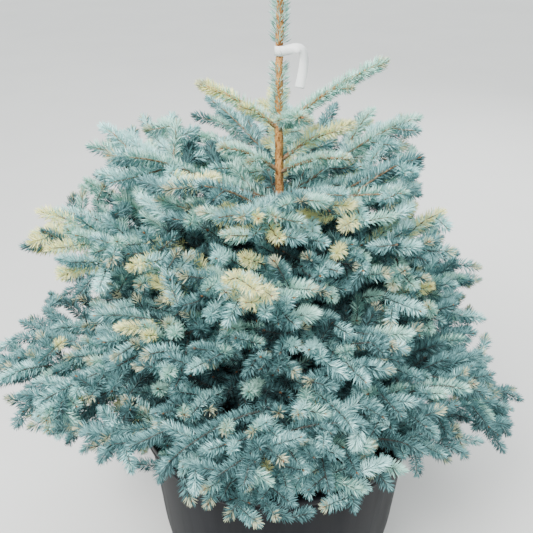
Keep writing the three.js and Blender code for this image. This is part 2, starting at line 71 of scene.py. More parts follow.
# A direction that leans less than this has no level direction of its own.
NEAR_UPRIGHT = 0.05

Array = np.ndarray
Rng = np.random.Generator
Pair = tuple[float, float]
Colour = tuple[float, float, float]
Path = Callable[[Array], Array]
Shape = tuple[Array, Array]
Socket = bpy.types.NodeSocket
Material = bpy.types.Material
Piece = bpy.types.Object

WHITE: Colour = (1.0, 1.0, 1.0)
EVEN: Colour = (1.0, 1.0, 1.0)
WHOLE: Pair = (0.0, 1.0)
# Most of a cloudy pattern lies between these values.
MOST: Pair = (0.3, 0.7)


class Draws:
    """Repeatable random numbers from 0 to 1, the same ones that the solids grew by."""

    def __init__(self, seed: int) -> None:
        """Start the numbers from a seed."""
        self.state = seed & WORD

    def next(self) -> float:
        """Give the next number.

        Returns:
            A number from 0 to 1.
        """
        self.state = (self.state + 0x6D2B79F5) & WORD
        mixed = (self.state ^ (self.state >> 15)) * (self.state | 1) & WORD
        mixed ^= (mixed + ((mixed ^ (mixed >> 7)) * (mixed | 61) & WORD)) & WORD
        return (mixed ^ (mixed >> 14)) / 2**32

    def between(self, low: float, high: float) -> float:
        """Give the next number, set between two ends."""
        return low + (high - low) * self.next()


def unit(vectors: Array) -> Array:
    """Give vectors of length 1 along the last axis."""
    return vectors / np.maximum(np.linalg.norm(vectors, axis=-1, keepdims=True), TINY)


def across(directions: Array) -> tuple[Array, Array]:
    """Find two directions square to each given one.

    Args:
        directions: Unit vectors, one a row.

    Returns:
        A level direction and the third direction, one a row each.
    """
    level = np.cross(np.broadcast_to(UP, directions.shape), directions)
    steep = np.linalg.norm(level, axis=-1) < NEAR_UPRIGHT
    level[steep] = (1.0, 0.0, 0.0)
    level = unit(level - directions * np.sum(level * directions, axis=-1, keepdims=True))
    return level, np.cross(directions, level)


def flat_noise(rows: int, columns: int, seed: int, smooth: tuple[int, int]) -> Array:
    """Make an even relief that closes on itself across the columns.

    Args:
        rows: Number of rows, along the limb.
        columns: Number of columns, round the limb.
        seed: Seed of the relief.
        smooth: How often it is smoothed along the rows and across the columns.

    Returns:
        Heights with a spread of about 1.
    """
    relief = np.random.default_rng(seed).standard_normal((rows, columns))
    for axis, times in enumerate(smooth):
        for _ in range(times):
            relief = (relief + np.roll(relief, 1, axis) + np.roll(relief, -1, axis)) / 3
    return relief / max(relief.std(), TINY)


class Pile:
    """Points and triangles gathered for one joined mesh."""

    def __init__(self) -> None:
        """Start with nothing."""
        self.points: list[Array] = []
        self.faces: list[Array] = []
        self.finishes: list[Array] = []
        self.count = 0

    def add(self, points: Array, faces: Array, finish: int | Array = 0) -> None:
        """Add a shape.

        Args:
            points: Its points, one a row.
            faces: Its triangles as rows of point numbers.
            finish: Number of its material, one for all or one a triangle.
        """
        self.points.append(points)
        self.faces.append(faces + self.count)
        self.finishes.append(np.broadcast_to(finish, len(faces)))
        self.count += len(points)

    def build(self, name: str, materials: Sequence[Material], smooth: bool = True) -> Piece:
        """Make the joined mesh.

        Args:
            name: Name of the piece.
            materials: Materials by the numbers that the shapes were added with.
            smooth: Whether the faces are shaded as one round surface.

        Returns:
            The piece, linked to the scene.
        """
        points = np.concatenate(self.points).astype(np.float32)
        faces = np.concatenate(self.faces).astype(np.int32)
        mesh = bpy.data.meshes.new(name)
        mesh.vertices.add(len(points))
        mesh.vertices.foreach_set("co", points.ravel())
        mesh.loops.add(faces.size)
        mesh.loops.foreach_set("vertex_index", faces.ravel())
        mesh.polygons.add(len(faces))
        mesh.polygons.foreach_set("loop_start", np.arange(0, faces.size, 3, dtype=np.int32))
        for material in materials:
            mesh.materials.append(material)
        mesh.polygons.foreach_set("material_index", np.concatenate(self.finishes).astype(np.int32))
        mesh.polygons.foreach_set("use_smooth", np.full(len(faces), smooth))
        mesh.update(calc_edges=True)
        mesh.validate()
        piece = bpy.data.objects.new(name, mesh)
        bpy.context.scene.collection.objects.link(piece)
        return piece


def ring_faces(rings: int, sides: int) -> Array:
    """Join rings of points, one after the other, with triangles.

    Args:
        rings: Number of rings.
        sides: Number of points in a ring.

    Returns:
        The triangles, facing out where the rings turn counter-clockwise seen from ahead.
    """
    ring, side = np.meshgrid(np.arange(rings - 1), np.arange(sides), indexing="ij")
    here = (ring * sides + side).ravel()
    beside = (ring * sides + (side + 1) % sides).ravel()
    low = np.stack([here, beside, beside + sides], axis=1)
    high = np.stack([here, beside + sides, here + sides], axis=1)
    return np.concatenate([low, high])


def closed_rings(rings: Array) -> Shape:
    """Make a closed skin through rings of points, with a point in the middle of each end.

    Args:
        rings: Points by ring, side and axis.

    Returns:
        The points and the triangles.
    """
    count, sides, _ = rings.shape
    foot, tip = count * sides, count * sides + 1
    side = np.arange(sides)
    beside = (side + 1) % sides
    last = (count - 1) * sides
    under = np.stack([beside, side, np.full(sides, foot)], axis=1)
    over = np.stack([last + side, last + beside, np.full(sides, tip)], axis=1)
    points = np.concatenate([rings.reshape(-1, 3), rings[0].mean(0)[None], rings[-1].mean(0)[None]])
    return points, np.concatenate([ring_faces(count, sides), under, over])


def tube(line: Array, radii: Array, sides: int) -> Shape:
    """Make a closed round limb along a line.

    Args:
        line: Points of its middle line, one a row.
        radii: Radius at each point, or at each point and side.
        sides: Number of sides.

    Returns:
        The points and the triangles.
    """
    level, third = across(unit(np.gradient(line, axis=0)))
    angle = np.arange(sides) / sides * FULL_TURN
    spokes = np.cos(angle)[None, :, None] * level[:, None] + np.sin(angle)[None, :, None] * third[:, None]
    wide = radii[:, None] if radii.ndim == 1 else radii
    return closed_rings(line[:, None] + spokes * wide[..., None])


class NodeSheet:
    """A short way to lay out the nodes of one material."""

    # Numbers of the sockets of the node that mixes colours.
    SHARE = 0
    FIRST = 6
    SECOND = 7
    RESULT = 2
    CLOUD_ROUGHNESS = 0.6

    def __init__(self, name: str) -> None:
        """Make the material with its shader and its place on the object.

        Args:
            name: Name of the material.
        """
        self.material = bpy.data.materials.new(name)
        self.material.use_nodes = True
        self.tree = self.material.node_tree
        self.tree.nodes.clear()
        self.shader = self.node("ShaderNodeBsdfPrincipled")
        output = self.node("ShaderNodeOutputMaterial")
        self.link(self.shader.outputs["BSDF"], output.inputs["Surface"])
        self.place = self.node("ShaderNodeTexCoord").outputs["Object"]

    def node(self, kind: str, **sockets: object) -> bpy.types.Node:
        """Add a node with values on its sockets.

        Args:
            kind: Blender's name of the node type.
            sockets: Values by socket name.

        Returns:
            The node.
        """
        made = self.tree.nodes.new(kind)
        for name, value in sockets.items():
            made.inputs[name].default_value = value
        return made

    def link(self, source: Socket, target: Socket) -> None:
        """Join two sockets."""
        self.tree.links.new(source, target)

    def noise(self, scale: float, detail: float = 3.0, stretch: Colour = EVEN) -> Socket:
        """Add a cloudy pattern.

        Args:
            scale: Patches to a metre.
            detail: How many finer layers it has.
            stretch: Scale along each axis.

        Returns:
            The pattern's value.
        """
        mapping = self.node("ShaderNodeMapping", Scale=stretch)
        self.link(self.place, mapping.inputs["Vector"])
        made = self.node("ShaderNodeTexNoise", Scale=scale, Detail=detail, Roughness=self.CLOUD_ROUGHNESS)
        self.link(mapping.outputs["Vector"], made.inputs["Vector"])
        return made.outputs["Fac"]

    def ramp(self, source: Socket, first: Colour, second: Colour, span: Pair = WHOLE) -> Socket:
        """Turn a value into colours between two.

        Args:
            source: The value.
            first: Colour at the span's start and below it.
            second: Colour at the span's end and above it.
            span: The values between which the colour changes.

        Returns:
            The colour.
        """
        made = self.node("ShaderNodeValToRGB")
        for element, place, colour in zip(made.color_ramp.elements, span, (first, second), strict=True):
            element.position = place
            element.color = (*colour, 1.0)
        self.link(source, made.inputs["Fac"])
        return made.outputs["Color"]

    def remap(self, source: Socket, span: Pair, to: Pair = WHOLE) -> Socket:
        """Stretch a value from one span to another.

        Args:
            source: The value.
            span: Its lowest and highest value.
            to: What they become.

        Returns:
            The new value.
        """
        made = self.node("ShaderNodeMapRange")
        for name, value in zip(("From Min", "From Max", "To Min", "To Max"), (*span, *to), strict=True):
            made.inputs[name].default_value = value
        self.link(source, made.inputs["Value"])
        return made.outputs["Result"]

    def mix(self, share: Socket | float, first: Socket, second: Socket, how: str = "MIX") -> Socket:
        """Mix two colours.

        Args:
            share: How much of the second shows.
            first: The first colour.
            second: The second colour.
            how: Blender's name of the blend.

        Returns:
            The mixed colour.
        """
        made = self.tree.nodes.new("ShaderNodeMix")
        made.data_type = "RGBA"
        made.blend_type = how
        if isinstance(share, float):
            made.inputs[self.SHARE].default_value = share
        else:
            self.link(share, made.inputs[self.SHARE])
        self.link(first, made.inputs[self.FIRST])
        self.link(second, made.inputs[self.SECOND])
        return made.outputs[self.RESULT]

    def height(self, low: float, high: float) -> Socket:
        """Give the height between two levels as a value.

        Args:
            low: The level where the value is 0.
            high: The level where it is 1.

        Returns:
            The value.
        """
        split = self.node("ShaderNodeSeparateXYZ")
        self.link(self.place, split.inputs["Vector"])
        return self.remap(split.outputs["Z"], (low, high))

    def bump(self, source: Socket, strength: float, depth: float) -> None:
        """Raise the surface by a value.

        Args:
            source: The value.
            strength: Strength of the effect from 0 to 1.
            depth: Height of the relief in metres.
        """
        made = self.node("ShaderNodeBump", Strength=strength, Distance=depth)
        self.link(source, made.inputs["Height"])
        self.link(made.outputs["Normal"], self.shader.inputs["Normal"])

    def surface(self, colour: Socket, roughness: Socket, gloss: float) -> None:
        """Dress the shader.

        Args:
            colour: Its colour.
            roughness: Its roughness.
            gloss: Strength of its gloss.
        """
        self.link(colour, self.shader.inputs["Base Color"])
        self.link(roughness, self.shader.inputs["Roughness"])
        self.shader.inputs["Specular IOR Level"].default_value = gloss


def shaded(colour: Colour, share: float) -> Colour:
    """Give a colour, lighter or darker."""
    return tuple(min(1.0, part * share) for part in colour)


@dataclass(frozen=True)
class NeedleFinish:
    """Waxy needles of one tint, mottled along the shoot where the pale bloom has rubbed off."""

    name: str
    colour: Colour
    rubbed: float = 0.72
    bloom: float = 1.18
    scale: float = 70.0
    patches: Pair = (0.30, 0.72)
    roughness: Pair = (0.52, 0.70)
    gloss: float = 0.22
    sheen: float = 0.04
    grain: float = 1500.0
    grain_relief: Pair = (0.25, 0.0002)

    def material(self) -> Material:
        """Make the material.

        Returns:
            The needles' material.
        """
        sheet = NodeSheet(self.name)
        patches = sheet.noise(self.scale)
        rubbed = shaded(self.colour, self.rubbed)
        colour = sheet.ramp(patches, rubbed, shaded(self.colour, self.bloom), self.patches)
        sheet.surface(colour, sheet.remap(patches, MOST, self.roughness), self.gloss)
        sheet.shader.inputs["Sheen Weight"].default_value = self.sheen
        sheet.bump(sheet.noise(self.grain, 1.0), *self.grain_relief)
        return sheet.material


@dataclass(frozen=True)
class BarkFinish:
    """Thin scaly bark that goes from old grey-brown wood to orange young wood up the tree."""

    name: str
    old: Colour
    young: Colour
    crack: Colour
    span: Pair
    scale: float = 160.0
    detail: float = 6.0
    stretch: Colour = (1.0, 1.0, 0.35)
    crack_edge: Pair = (0.36, 0.50)
    cloud_scale: float = 35.0
    clouds: tuple[Colour, Colour] = ((0.78, 0.78, 0.78), (1.15, 1.10, 1.05))
    # Darker flecks round the pegs of fallen needles.
    fleck_scale: float = 330.0
    fleck_edge: Pair = (0.40, 0.50)
    fleck: Colour = (0.55, 0.44, 0.36)
    roughness: Pair = (0.92, 0.72)
    gloss: float = 0.3
    relief: Pair = (0.8, 0.0012)

    def material(self) -> Material:
        """Make the material.

        Returns:
            The bark's material.
        """
        sheet = NodeSheet(self.name)
        age = sheet.ramp(sheet.height(*self.span), self.old, self.young)
        scales = sheet.noise(self.scale, self.detail, self.stretch)
        cracks = sheet.ramp(sheet.remap(scales, self.crack_edge), self.crack, WHITE)
        clouds = sheet.ramp(sheet.noise(self.cloud_scale), *self.clouds, MOST)
        pegs = sheet.noise(self.fleck_scale, 1.0)
        flecks = sheet.ramp(sheet.remap(pegs, self.fleck_edge), self.fleck, WHITE)
        colour = age
        for shade in (cracks, clouds, flecks):
            colour = sheet.mix(1.0, colour, shade, "MULTIPLY")
        sheet.surface(colour, sheet.remap(scales, MOST, self.roughness), self.gloss)
        sheet.bump(scales, *self.relief)
        return sheet.material


@dataclass(frozen=True)
class PlasticFinish:
    """Dark blown plastic with faint upright streaks of dried water and dust, and scuffs."""

    name: str = "pot_plastic"
    colour: Colour = (0.0040, 0.0046, 0.0066)
    faded: float = 1.6
    fading_scale: float = 9.0
    dust: Colour = (0.012, 0.0135, 0.017)
    thin_dust: float = 0.6
    streak_scale: float = 26.0
    streak_detail: float = 5.0
    streak_stretch: Colour = (1.0, 1.0, 0.06)
    streak_edge: Pair = (0.5, 0.8)
    streak_share: Pair = (0.0, 0.6)
    speck_scale: float = 420.0
    speck_edge: Pair = (0.66, 0.76)
    # Dust splashed up from the ground, with its shares at the foot and at its upper end.
    splash_height: float = 0.10
    splash_share: Pair = (0.18, 0.0)
    roughness: Pair = (0.50, 0.66)
    gloss: float = 0.11
    grain: float = 300.0
    grain_relief: Pair = (0.12, 0.0006)

    def material(self) -> Material:
        """Make the material.

        Returns:
            The pot's material.
        """
        sheet = NodeSheet(self.name)
        streaks = sheet.noise(self.streak_scale, self.streak_detail, self.streak_stretch)
        streaks = sheet.remap(streaks, self.streak_edge, self.streak_share)
        specks = sheet.remap(sheet.noise(self.speck_scale, 2.0), self.speck_edge)
        splash = sheet.remap(sheet.height(0.0, self.splash_height), WHOLE, self.splash_share)
        dusty = sheet.ramp(specks, shaded(self.dust, self.thin_dust), self.dust)
        blotches = sheet.noise(self.fading_scale)
        colour = sheet.ramp(blotches, self.colour, shaded(self.colour, self.faded), MOST)
        for share in (streaks, specks, splash):
            colour = sheet.mix(share, colour, dusty)
        sheet.surface(colour, sheet.remap(streaks, self.streak_share, self.roughness), self.gloss)
        sheet.bump(sheet.noise(self.grain), *self.grain_relief)
        return sheet.material


@dataclass(frozen=True)
class PatchyFinish:
    """A material in patches of two shades, raised where it is paler: soil, chips and the label's film."""

    name: str
    dark: Colour
    pale: Colour
    scale: float = 130.0
    detail: float = 8.0
    stretch: Colour = EVEN
    patches: Pair = (0.35, 0.75)
    roughness: Pair = (0.98, 0.85)
    gloss: float = 0.2
    relief: Pair = (0.9, 0.003)

    def material(self) -> Material:
        """Make the material.

        Returns:
            The material.
        """
        sheet = NodeSheet(self.name)
        patches = sheet.noise(self.scale, self.detail, self.stretch)
        colour = sheet.ramp(patches, self.dark, self.pale, self.patches)
        sheet.surface(colour, sheet.remap(patches, MOST, self.roughness), self.gloss)
        sheet.bump(patches, *self.relief)
        return sheet.material


EARTH = PatchyFinish("soil_earth", (0.010, 0.007, 0.005), (0.045, 0.032, 0.022))
BARK_CHIPS = PatchyFinish("soil_chips", (0.030, 0.018, 0.010), (0.110, 0.065, 0.035), 90.0)
DRY_CHIPS = PatchyFinish("soil_dry_chips", (0.080, 0.058, 0.038), (0.200, 0.150, 0.100), 90.0)
FILM = PatchyFinish("label_film", shaded((0.93, 0.94, 0.93), 0.94), (0.93, 0.94, 0.93), 60.0, 2.0,
                    (1.0, 1.0, 0.4), MOST, (0.42, 0.55), 0.45, (0.2, 0.0008))


@dataclass(frozen=True)
class FloorFinish:
    """A plain pale studio floor."""

    name: str = "studio_floor"
    colour: Colour = (0.72, 0.71, 0.69)
    clouded: float = 0.96
    scale: float = 1.5
    roughness: Pair = (0.8, 0.9)
    gloss: float = 0.2

    def material(self) -> Material:
        """Make the material.

        Returns:
            The floor's material.
        """
        sheet = NodeSheet(self.name)
        clouds = sheet.noise(self.scale)
        colour = sheet.ramp(clouds, shaded(self.colour, self.clouded), self.colour, MOST)
        sheet.surface(colour, sheet.remap(clouds, WHOLE, self.roughness), self.gloss)
        return sheet.material


class Tint(Enum):
    """Tints of needles, dealt out shoot by shoot."""

    # Shade and deep teal are painted shade, for shoots inside the crown and needles that point down; deep
    # teal is also used for lower shoots.
    SHADE = NeedleFinish("needles_shade", (0.011, 0.025, 0.026))
    TEAL_SHADE = NeedleFinish("needles_teal_painted_shade", (0.042, 0.096, 0.101))
    STEEL = NeedleFinish("needles_steel_blue", (0.114, 0.245, 0.254))
    PALE = NeedleFinish("needles_pale_blue", (0.228, 0.460, 0.464))
    SILVER = NeedleFinish("needles_silver", (0.550, 0.940, 0.870))
    GREEN = NeedleFinish("needles_grey_green", (0.220, 0.450, 0.400))
    SAGE = NeedleFinish("needles_pale_sage", (0.570, 0.930, 0.770))
    CREAM = NeedleFinish("needles_cream", (0.950, 0.930, 0.500), rubbed=0.88, bloom=1.08)
    LIME = NeedleFinish("needles_lime", (0.520, 0.600, 0.270), rubbed=0.85)
    FRESH = NeedleFinish("needles_fresh_tips", (0.600, 0.630, 0.440), rubbed=0.85)

    @property
    def number(self) -> int:
        """Number of the tint's material on a piece."""
        return list(Tint).index(self)

    @property
    def painted_light_step(self) -> "Tint":
        """The tint a step lighter that this one's upward needles take as painted light.

        Returns:
            The tint.
        """
        steps = {Tint.SHADE: Tint.TEAL_SHADE, Tint.TEAL_SHADE: Tint.STEEL, Tint.STEEL: Tint.PALE, Tint.PALE: Tint.SILVER,
                 Tint.GREEN: Tint.SAGE}
        return steps.get(self, self)

    @property
    def painted_shade_step(self) -> "Tint":
        """The tint a step deeper that this one's downward needles take as painted shade.

        Returns:
            The tint.
        """
        steps = {Tint.TEAL_SHADE: Tint.SHADE, Tint.STEEL: Tint.TEAL_SHADE, Tint.PALE: Tint.STEEL, Tint.SILVER: Tint.PALE,
                 Tint.GREEN: Tint.STEEL, Tint.SAGE: Tint.GREEN, Tint.LIME: Tint.GREEN}
        return steps.get(self, self)


@dataclass(frozen=True)
class Palette:
    """Which tint a shoot takes: painted shade inside the crown, bluer and in painted shade low down, painted
    light high up, and cream in a few patches.
    """

    # Middle of each patch of cream shoots, its radius and the share of shoots in it that are cream.
    cream: tuple[tuple[float, float, float, float, float], ...] = (
        (-0.40, -0.08, 0.80, 0.09, 0.75), (-0.19, -0.14, 0.80, 0.065, 0.6), (-0.03, -0.25, 0.86, 0.065, 0.6),
        (-0.10, -0.15, 0.91, 0.065, 0.6), (0.04, -0.19, 0.90, 0.05, 0.12), (0.25, 0.0, 0.84, 0.05, 0.4),
        (0.16, 0.22, 0.84, 0.08, 0.5), (-0.26, 0.22, 0.80, 0.08, 0.5), (0.28, 0.26, 0.66, 0.06, 0.5),
        (-0.03, -0.33, 0.69, 0.08, 0.3), (-0.24, -0.2, 0.74, 0.07, 0.35), (0.06, -0.16, 0.87, 0.05, 0.3),
    )
    lime: tuple[float, float, float, float] = (-0.11, -0.31, 0.68, 0.035)
    stray_cream: float = 0.012
    # How far out all shoots are in painted shade, how far out many are in deep teal painted shade, and how
    # far out any is.
    deepest: float = 0.29
    deep: float = 0.55
    outline: float = 0.72
    shade_share: float = 0.5
    deep_share: float = 0.5
    lime_share: float = 0.7
    # Share of each outer tint low in the crown and high in it: deep, steel, pale, silver, green, sage; low
    # down the mix leans to painted shade, high up to painted light.
    low_mix: tuple[float, ...] = (0.27, 0.40, 0.21, 0.06, 0.05, 0.01)
    high_mix: tuple[float, ...] = (0.02, 0.10, 0.30, 0.20, 0.21, 0.17)
    span: Pair = (0.45, 0.95)

    def pick(self, tip: Array, depth: float, draws: Draws) -> Tint:
        """Deal one shoot its tint.

        Args:
            tip: Where the shoot's tip is.
            depth: How far out the shoot is: 0 at the trunk, 1 at the crown's outline.
            draws: Random numbers.

        Returns:
            The tint.
        """
        chance = draws.next()
        # Shoots near the trunk are painted in shade.
        if depth < self.deepest:
            return Tint.SHADE if chance < self.shade_share else Tint.TEAL_SHADE
        for x, y, z, radius, share in self.cream:
            if np.linalg.norm(tip - (x, y, z)) < radius and chance < share:
                return Tint.CREAM
        if np.linalg.norm(tip - self.lime[:3]) < self.lime[3] and chance < self.lime_share:
            return Tint.LIME
        if chance < self.stray_cream:
            return Tint.CREAM
        # Many shoots well inside the crown take the deep teal painted shade.
        if depth < self.deep and chance < self.deep_share:
            return Tint.TEAL_SHADE
        # The tints shift with height: painted shade low in the crown, painted light high up.
        high = float(np.clip((tip[2] - self.span[0]) / (self.span[1] - self.span[0]), 0, 1))
        shares = np.array(self.low_mix) * (1 - high) + np.array(self.high_mix) * high
        step = int(np.searchsorted(np.cumsum(shares / shares.sum()), draws.next()))
        # Near the outline, steel takes the place of the deep teal painted shade.
        first = Tint.STEEL if depth > self.outline else Tint.TEAL_SHADE
        tints = (first, Tint.STEEL, Tint.PALE, Tint.SILVER, Tint.GREEN, Tint.SAGE)
        return tints[min(step, len(tints) - 1)]


@dataclass(frozen=True)
class Trunk:
    """The trunk's course and taper, from the soil to the leader's tip."""

    foot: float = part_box("trunk")[0].z
    length: float = 0.850
    lean: Pair = (-0.003, 0.007)
    sway: Pair = (0.0025, -0.00125)
    # Radius by height above the soil.
    heights: tuple[float, ...] = (0.0, 0.012, 0.035, 0.140, 0.226, 0.324, 0.434, 0.460, 0.564, 0.850)
    radii: tuple[float, ...] = (0.022, 0.0195, 0.0175, 0.0145, 0.0124, 0.0102, 0.008, 0.0069, 0.0064, 0.0046)
    lobes: int = 5
    lobe_size: float = 0.2
    lobe_height: float = 0.022
    sides: int = 36
    rings: int = 420
    relief: float = 0.00045
    most_relief: float = 1.6
    # How often the fine and the broad scales of the bark are smoothed along the trunk and round it.
    fine_scales: tuple[int, int] = (4, 1)
    broad_scales: tuple[int, int] = (9, 3)
    peg: float = 0.0011
    # Two spirals cross at the leader's pegs: how fast each climbs, and its number of strands.
    first_spiral: tuple[float, int] = (900.0, 3)
    second_spiral: tuple[float, int] = (700.0, 5)
    pegs_from: float = 0.43
    pegs_fade: float = 0.05
    bud: float = 0.0052
    bud_length: float = 0.0145
    bud_sink: float = 0.005
    bud_swell: Pair = (2.6, 0.45)
    bud_blunt: float = 0.8
    bud_tip: float = 0.0003
    # Height and number of the bud's scales.
    bud_scales: Pair = (0.06, 40.0)
    bud_rings: int = 14
    bud_sides: int = 12

    def centre(self, height: Array | float) -> Array:
        """Give the middle of the trunk.

        Args:
            height: Heights above the ground.

        Returns:
            Points by height.
        """
        height = np.asarray(height, float)
        share = (height - self.foot) / self.length
        wave = np.sin(share * FULL_TURN)
        course = [lean * share + sway * wave for lean, sway in zip(self.lean, self.sway, strict=True)]
        return np.stack([*course, height], axis=-1)

    def radius(self, height: Array | float) -> Array:
        """Give the trunk's radius at heights above the ground."""
        return np.interp(np.asarray(height, float) - self.foot, self.heights, self.radii)

    def build(self, finish: BarkFinish) -> Piece:
        """Make the trunk with its flare, its bark relief and its end bud.

        Args:
            finish: The bark.

        Returns:
            The piece.
        """
        share = np.linspace(0, 1, self.rings)
        above = share * self.length
        angle = np.arange(self.sides) / self.sides * FULL_TURN
        fading = np.exp(-above / self.lobe_height)[:, None]
        lobed = 1 + self.lobe_size * fading * np.cos(self.lobes * angle)
        radii = self.radius(self.foot + above)[:, None] * lobed
        scales = flat_noise(self.rings, self.sides, SEED, self.fine_scales)
        scales = scales + flat_noise(self.rings, self.sides, SEED + 1, self.broad_scales)
        radii = radii + self.relief * np.clip(scales, -self.most_relief, self.most_relief) - self.relief
        (climb, strands), (back_climb, back_strands) = self.first_spiral, self.second_spiral
        pegs = np.sin(above[:, None] * climb + angle * strands)
        pegs = pegs * np.sin(angle * back_strands - above[:, None] * back_climb)
        shown = np.clip((above - self.pegs_from) / self.pegs_fade, 0, 1)[:, None]
        radii += self.peg * np.clip(pegs, 0, 1) * shown
        middle = self.centre(self.foot + above)
        spokes = np.stack([np.cos(angle), np.sin(angle), np.zeros(self.sides)], axis=1)
        pile = Pile()
        pile.add(*closed_rings(middle[:, None] + spokes[None] * radii[..., None]))
        pile.add(*self.end_bud())
        return pile.build("trunk_bark", [finish.material()])

    def end_bud(self) -> Shape:
        """Make the fat bud at the leader's tip, with its scales.

        Returns:
            The points and the triangles.
        """
        top = self.centre(self.foot + self.length - self.bud_sink)
        share = np.linspace(0, 1, self.bud_rings)
        line = top + np.outer(share * self.bud_length, UP)
        height, number = self.bud_scales
        scales = 1 + height * np.sin(share * number)
        speed, start = self.bud_swell
        swell = np.sin(np.clip(share * speed + start, 0, math.pi)) ** self.bud_blunt
        return tube(line, self.bud * swell * scales + self.bud_tip, self.bud_sides)


@dataclass(frozen=True)
class Tier:
    """One whorl of boughs and the layer of foliage that it carries.

    Attributes:
        name: Its name in the names of its solids.
        whorl: Height of the boughs' feet.
        rise: Slope of the boughs at the trunk.
        fall: How much they bend down.
        droop: The same past the crown's droop line.
        reach: How far they reach.
        skew: How much farther that is to the left than to the right.
        inner: Where a bough ends in its mass, or 0 without boughs.
        bough: Its radius at the trunk.
        count: Number of boughs.
        turn: Bearing of the first one in degrees.
        notch: How much the outline draws in between two of them.
        front: How much it draws in on both sides of the front.
    """

    name: str
    whorl: float
    rise: float
    fall: float
    droop: float
    reach: float
    skew: float
    inner: float
    bough: float
    count: int
    turn: float
    notch: float
    front: float


TIERS = (
    Tier("tier2", 0.830, 0.42, 0.30, 0.0, 0.300, 0.6, 0.0, 0.0, 5, 178, 0.2, 0.0),
    Tier("tier3", 0.722, 0.38, 0.45, 0.0, 0.385, 1.4, 0.070, 0.0052, 5, 192, 0.42, 0.0),
    Tier("tier4", 0.624, 0.30, 0.48, 0.0, 0.395, 0.4, 0.080, 0.0060, 5, 150, 0.38, 0.0),
    Tier("tier5", 0.536, 0.24, 0.48, 0.0, 0.505, 1.0, 0.090, 0.0068, 5, 190, 0.18, 0.0),
    Tier("tier6", 0.458, 0.24, 0.75, 2.6, 0.496, 0.0, 0.096, 0.0072, 6, 185, 0.1, 0.3),
)


@dataclass(frozen=True)
class Crown:
    """The layers and the outline of the crown."""

    trunk: Trunk = Trunk()
    droop_from: float = 0.285
    mean: float = 0.9275
    right: float = -0.13
    back: float = 0.095
    sides: float = 0.0725
    top_room: tuple[float, float, float] = (0.024, 0.110, 0.45)
    bottom_room: float = 0.070
    rim_room: float = 0.005
    pot_radius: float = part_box("pot")[1].x
    pot_height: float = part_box("pot")[1].z
    trunk_room: float = 0.012

    def height(self, index: int, radius: Array) -> Array:
        """Give the height of a tier's boughs.

        Args:
            index: Number of the tier.
            radius: Distances from the trunk.

        Returns:
            The heights.
        """
        tier = TIERS[index]
        past = np.maximum(0, radius - self.droop_from)
        return tier.whorl + tier.rise * radius - tier.fall * radius**2 - tier.droop * past**2

    def reach(self, index: int, bearing: Array) -> Array:
        """Give how far a tier reaches.

        Args:
            index: Number of the tier.
            bearing: Directions.

        Returns:
            The distances from the trunk.
        """
        tier = TIERS[index]
        sideways = tier.skew * self.right * np.cos(bearing) + self.sides * np.cos(2 * bearing)
        front = tier.front * np.maximum(0, -np.sin(bearing)) * np.abs(np.cos(bearing))
        return tier.reach * (self.mean + sideways + self.back * np.sin(bearing) - front)

    def top(self, index: int, radius: Array) -> Array:
        """Give the upper edge of a tier's layer.

        Args:
            index: Number of the tier.
            radius: Distances from the trunk.

        Returns:
            The heights.
        """
        own = self.height(index, radius)
        if index > 0:
            return (own + self.height(index - 1, radius)) / 2
        near, start, growth = self.top_room
        return own + near + growth * np.maximum(0, radius - start)

    def foot(self, index: int, radius: Array) -> Array:
        """Give the lower edge of a tier's layer.

        Args:
            index: Number of the tier.
            radius: Distances from the trunk.

        Returns:
            The heights.
        """
        own = self.height(index, radius)
        if index < len(TIERS) - 1:
            return (own + self.height(index + 1, radius)) / 2
        over_pot = np.where(radius < self.pot_radius + self.rim_room, self.pot_height + self.rim_room, 0.0)
        return np.maximum(own - self.bottom_room, over_pot)


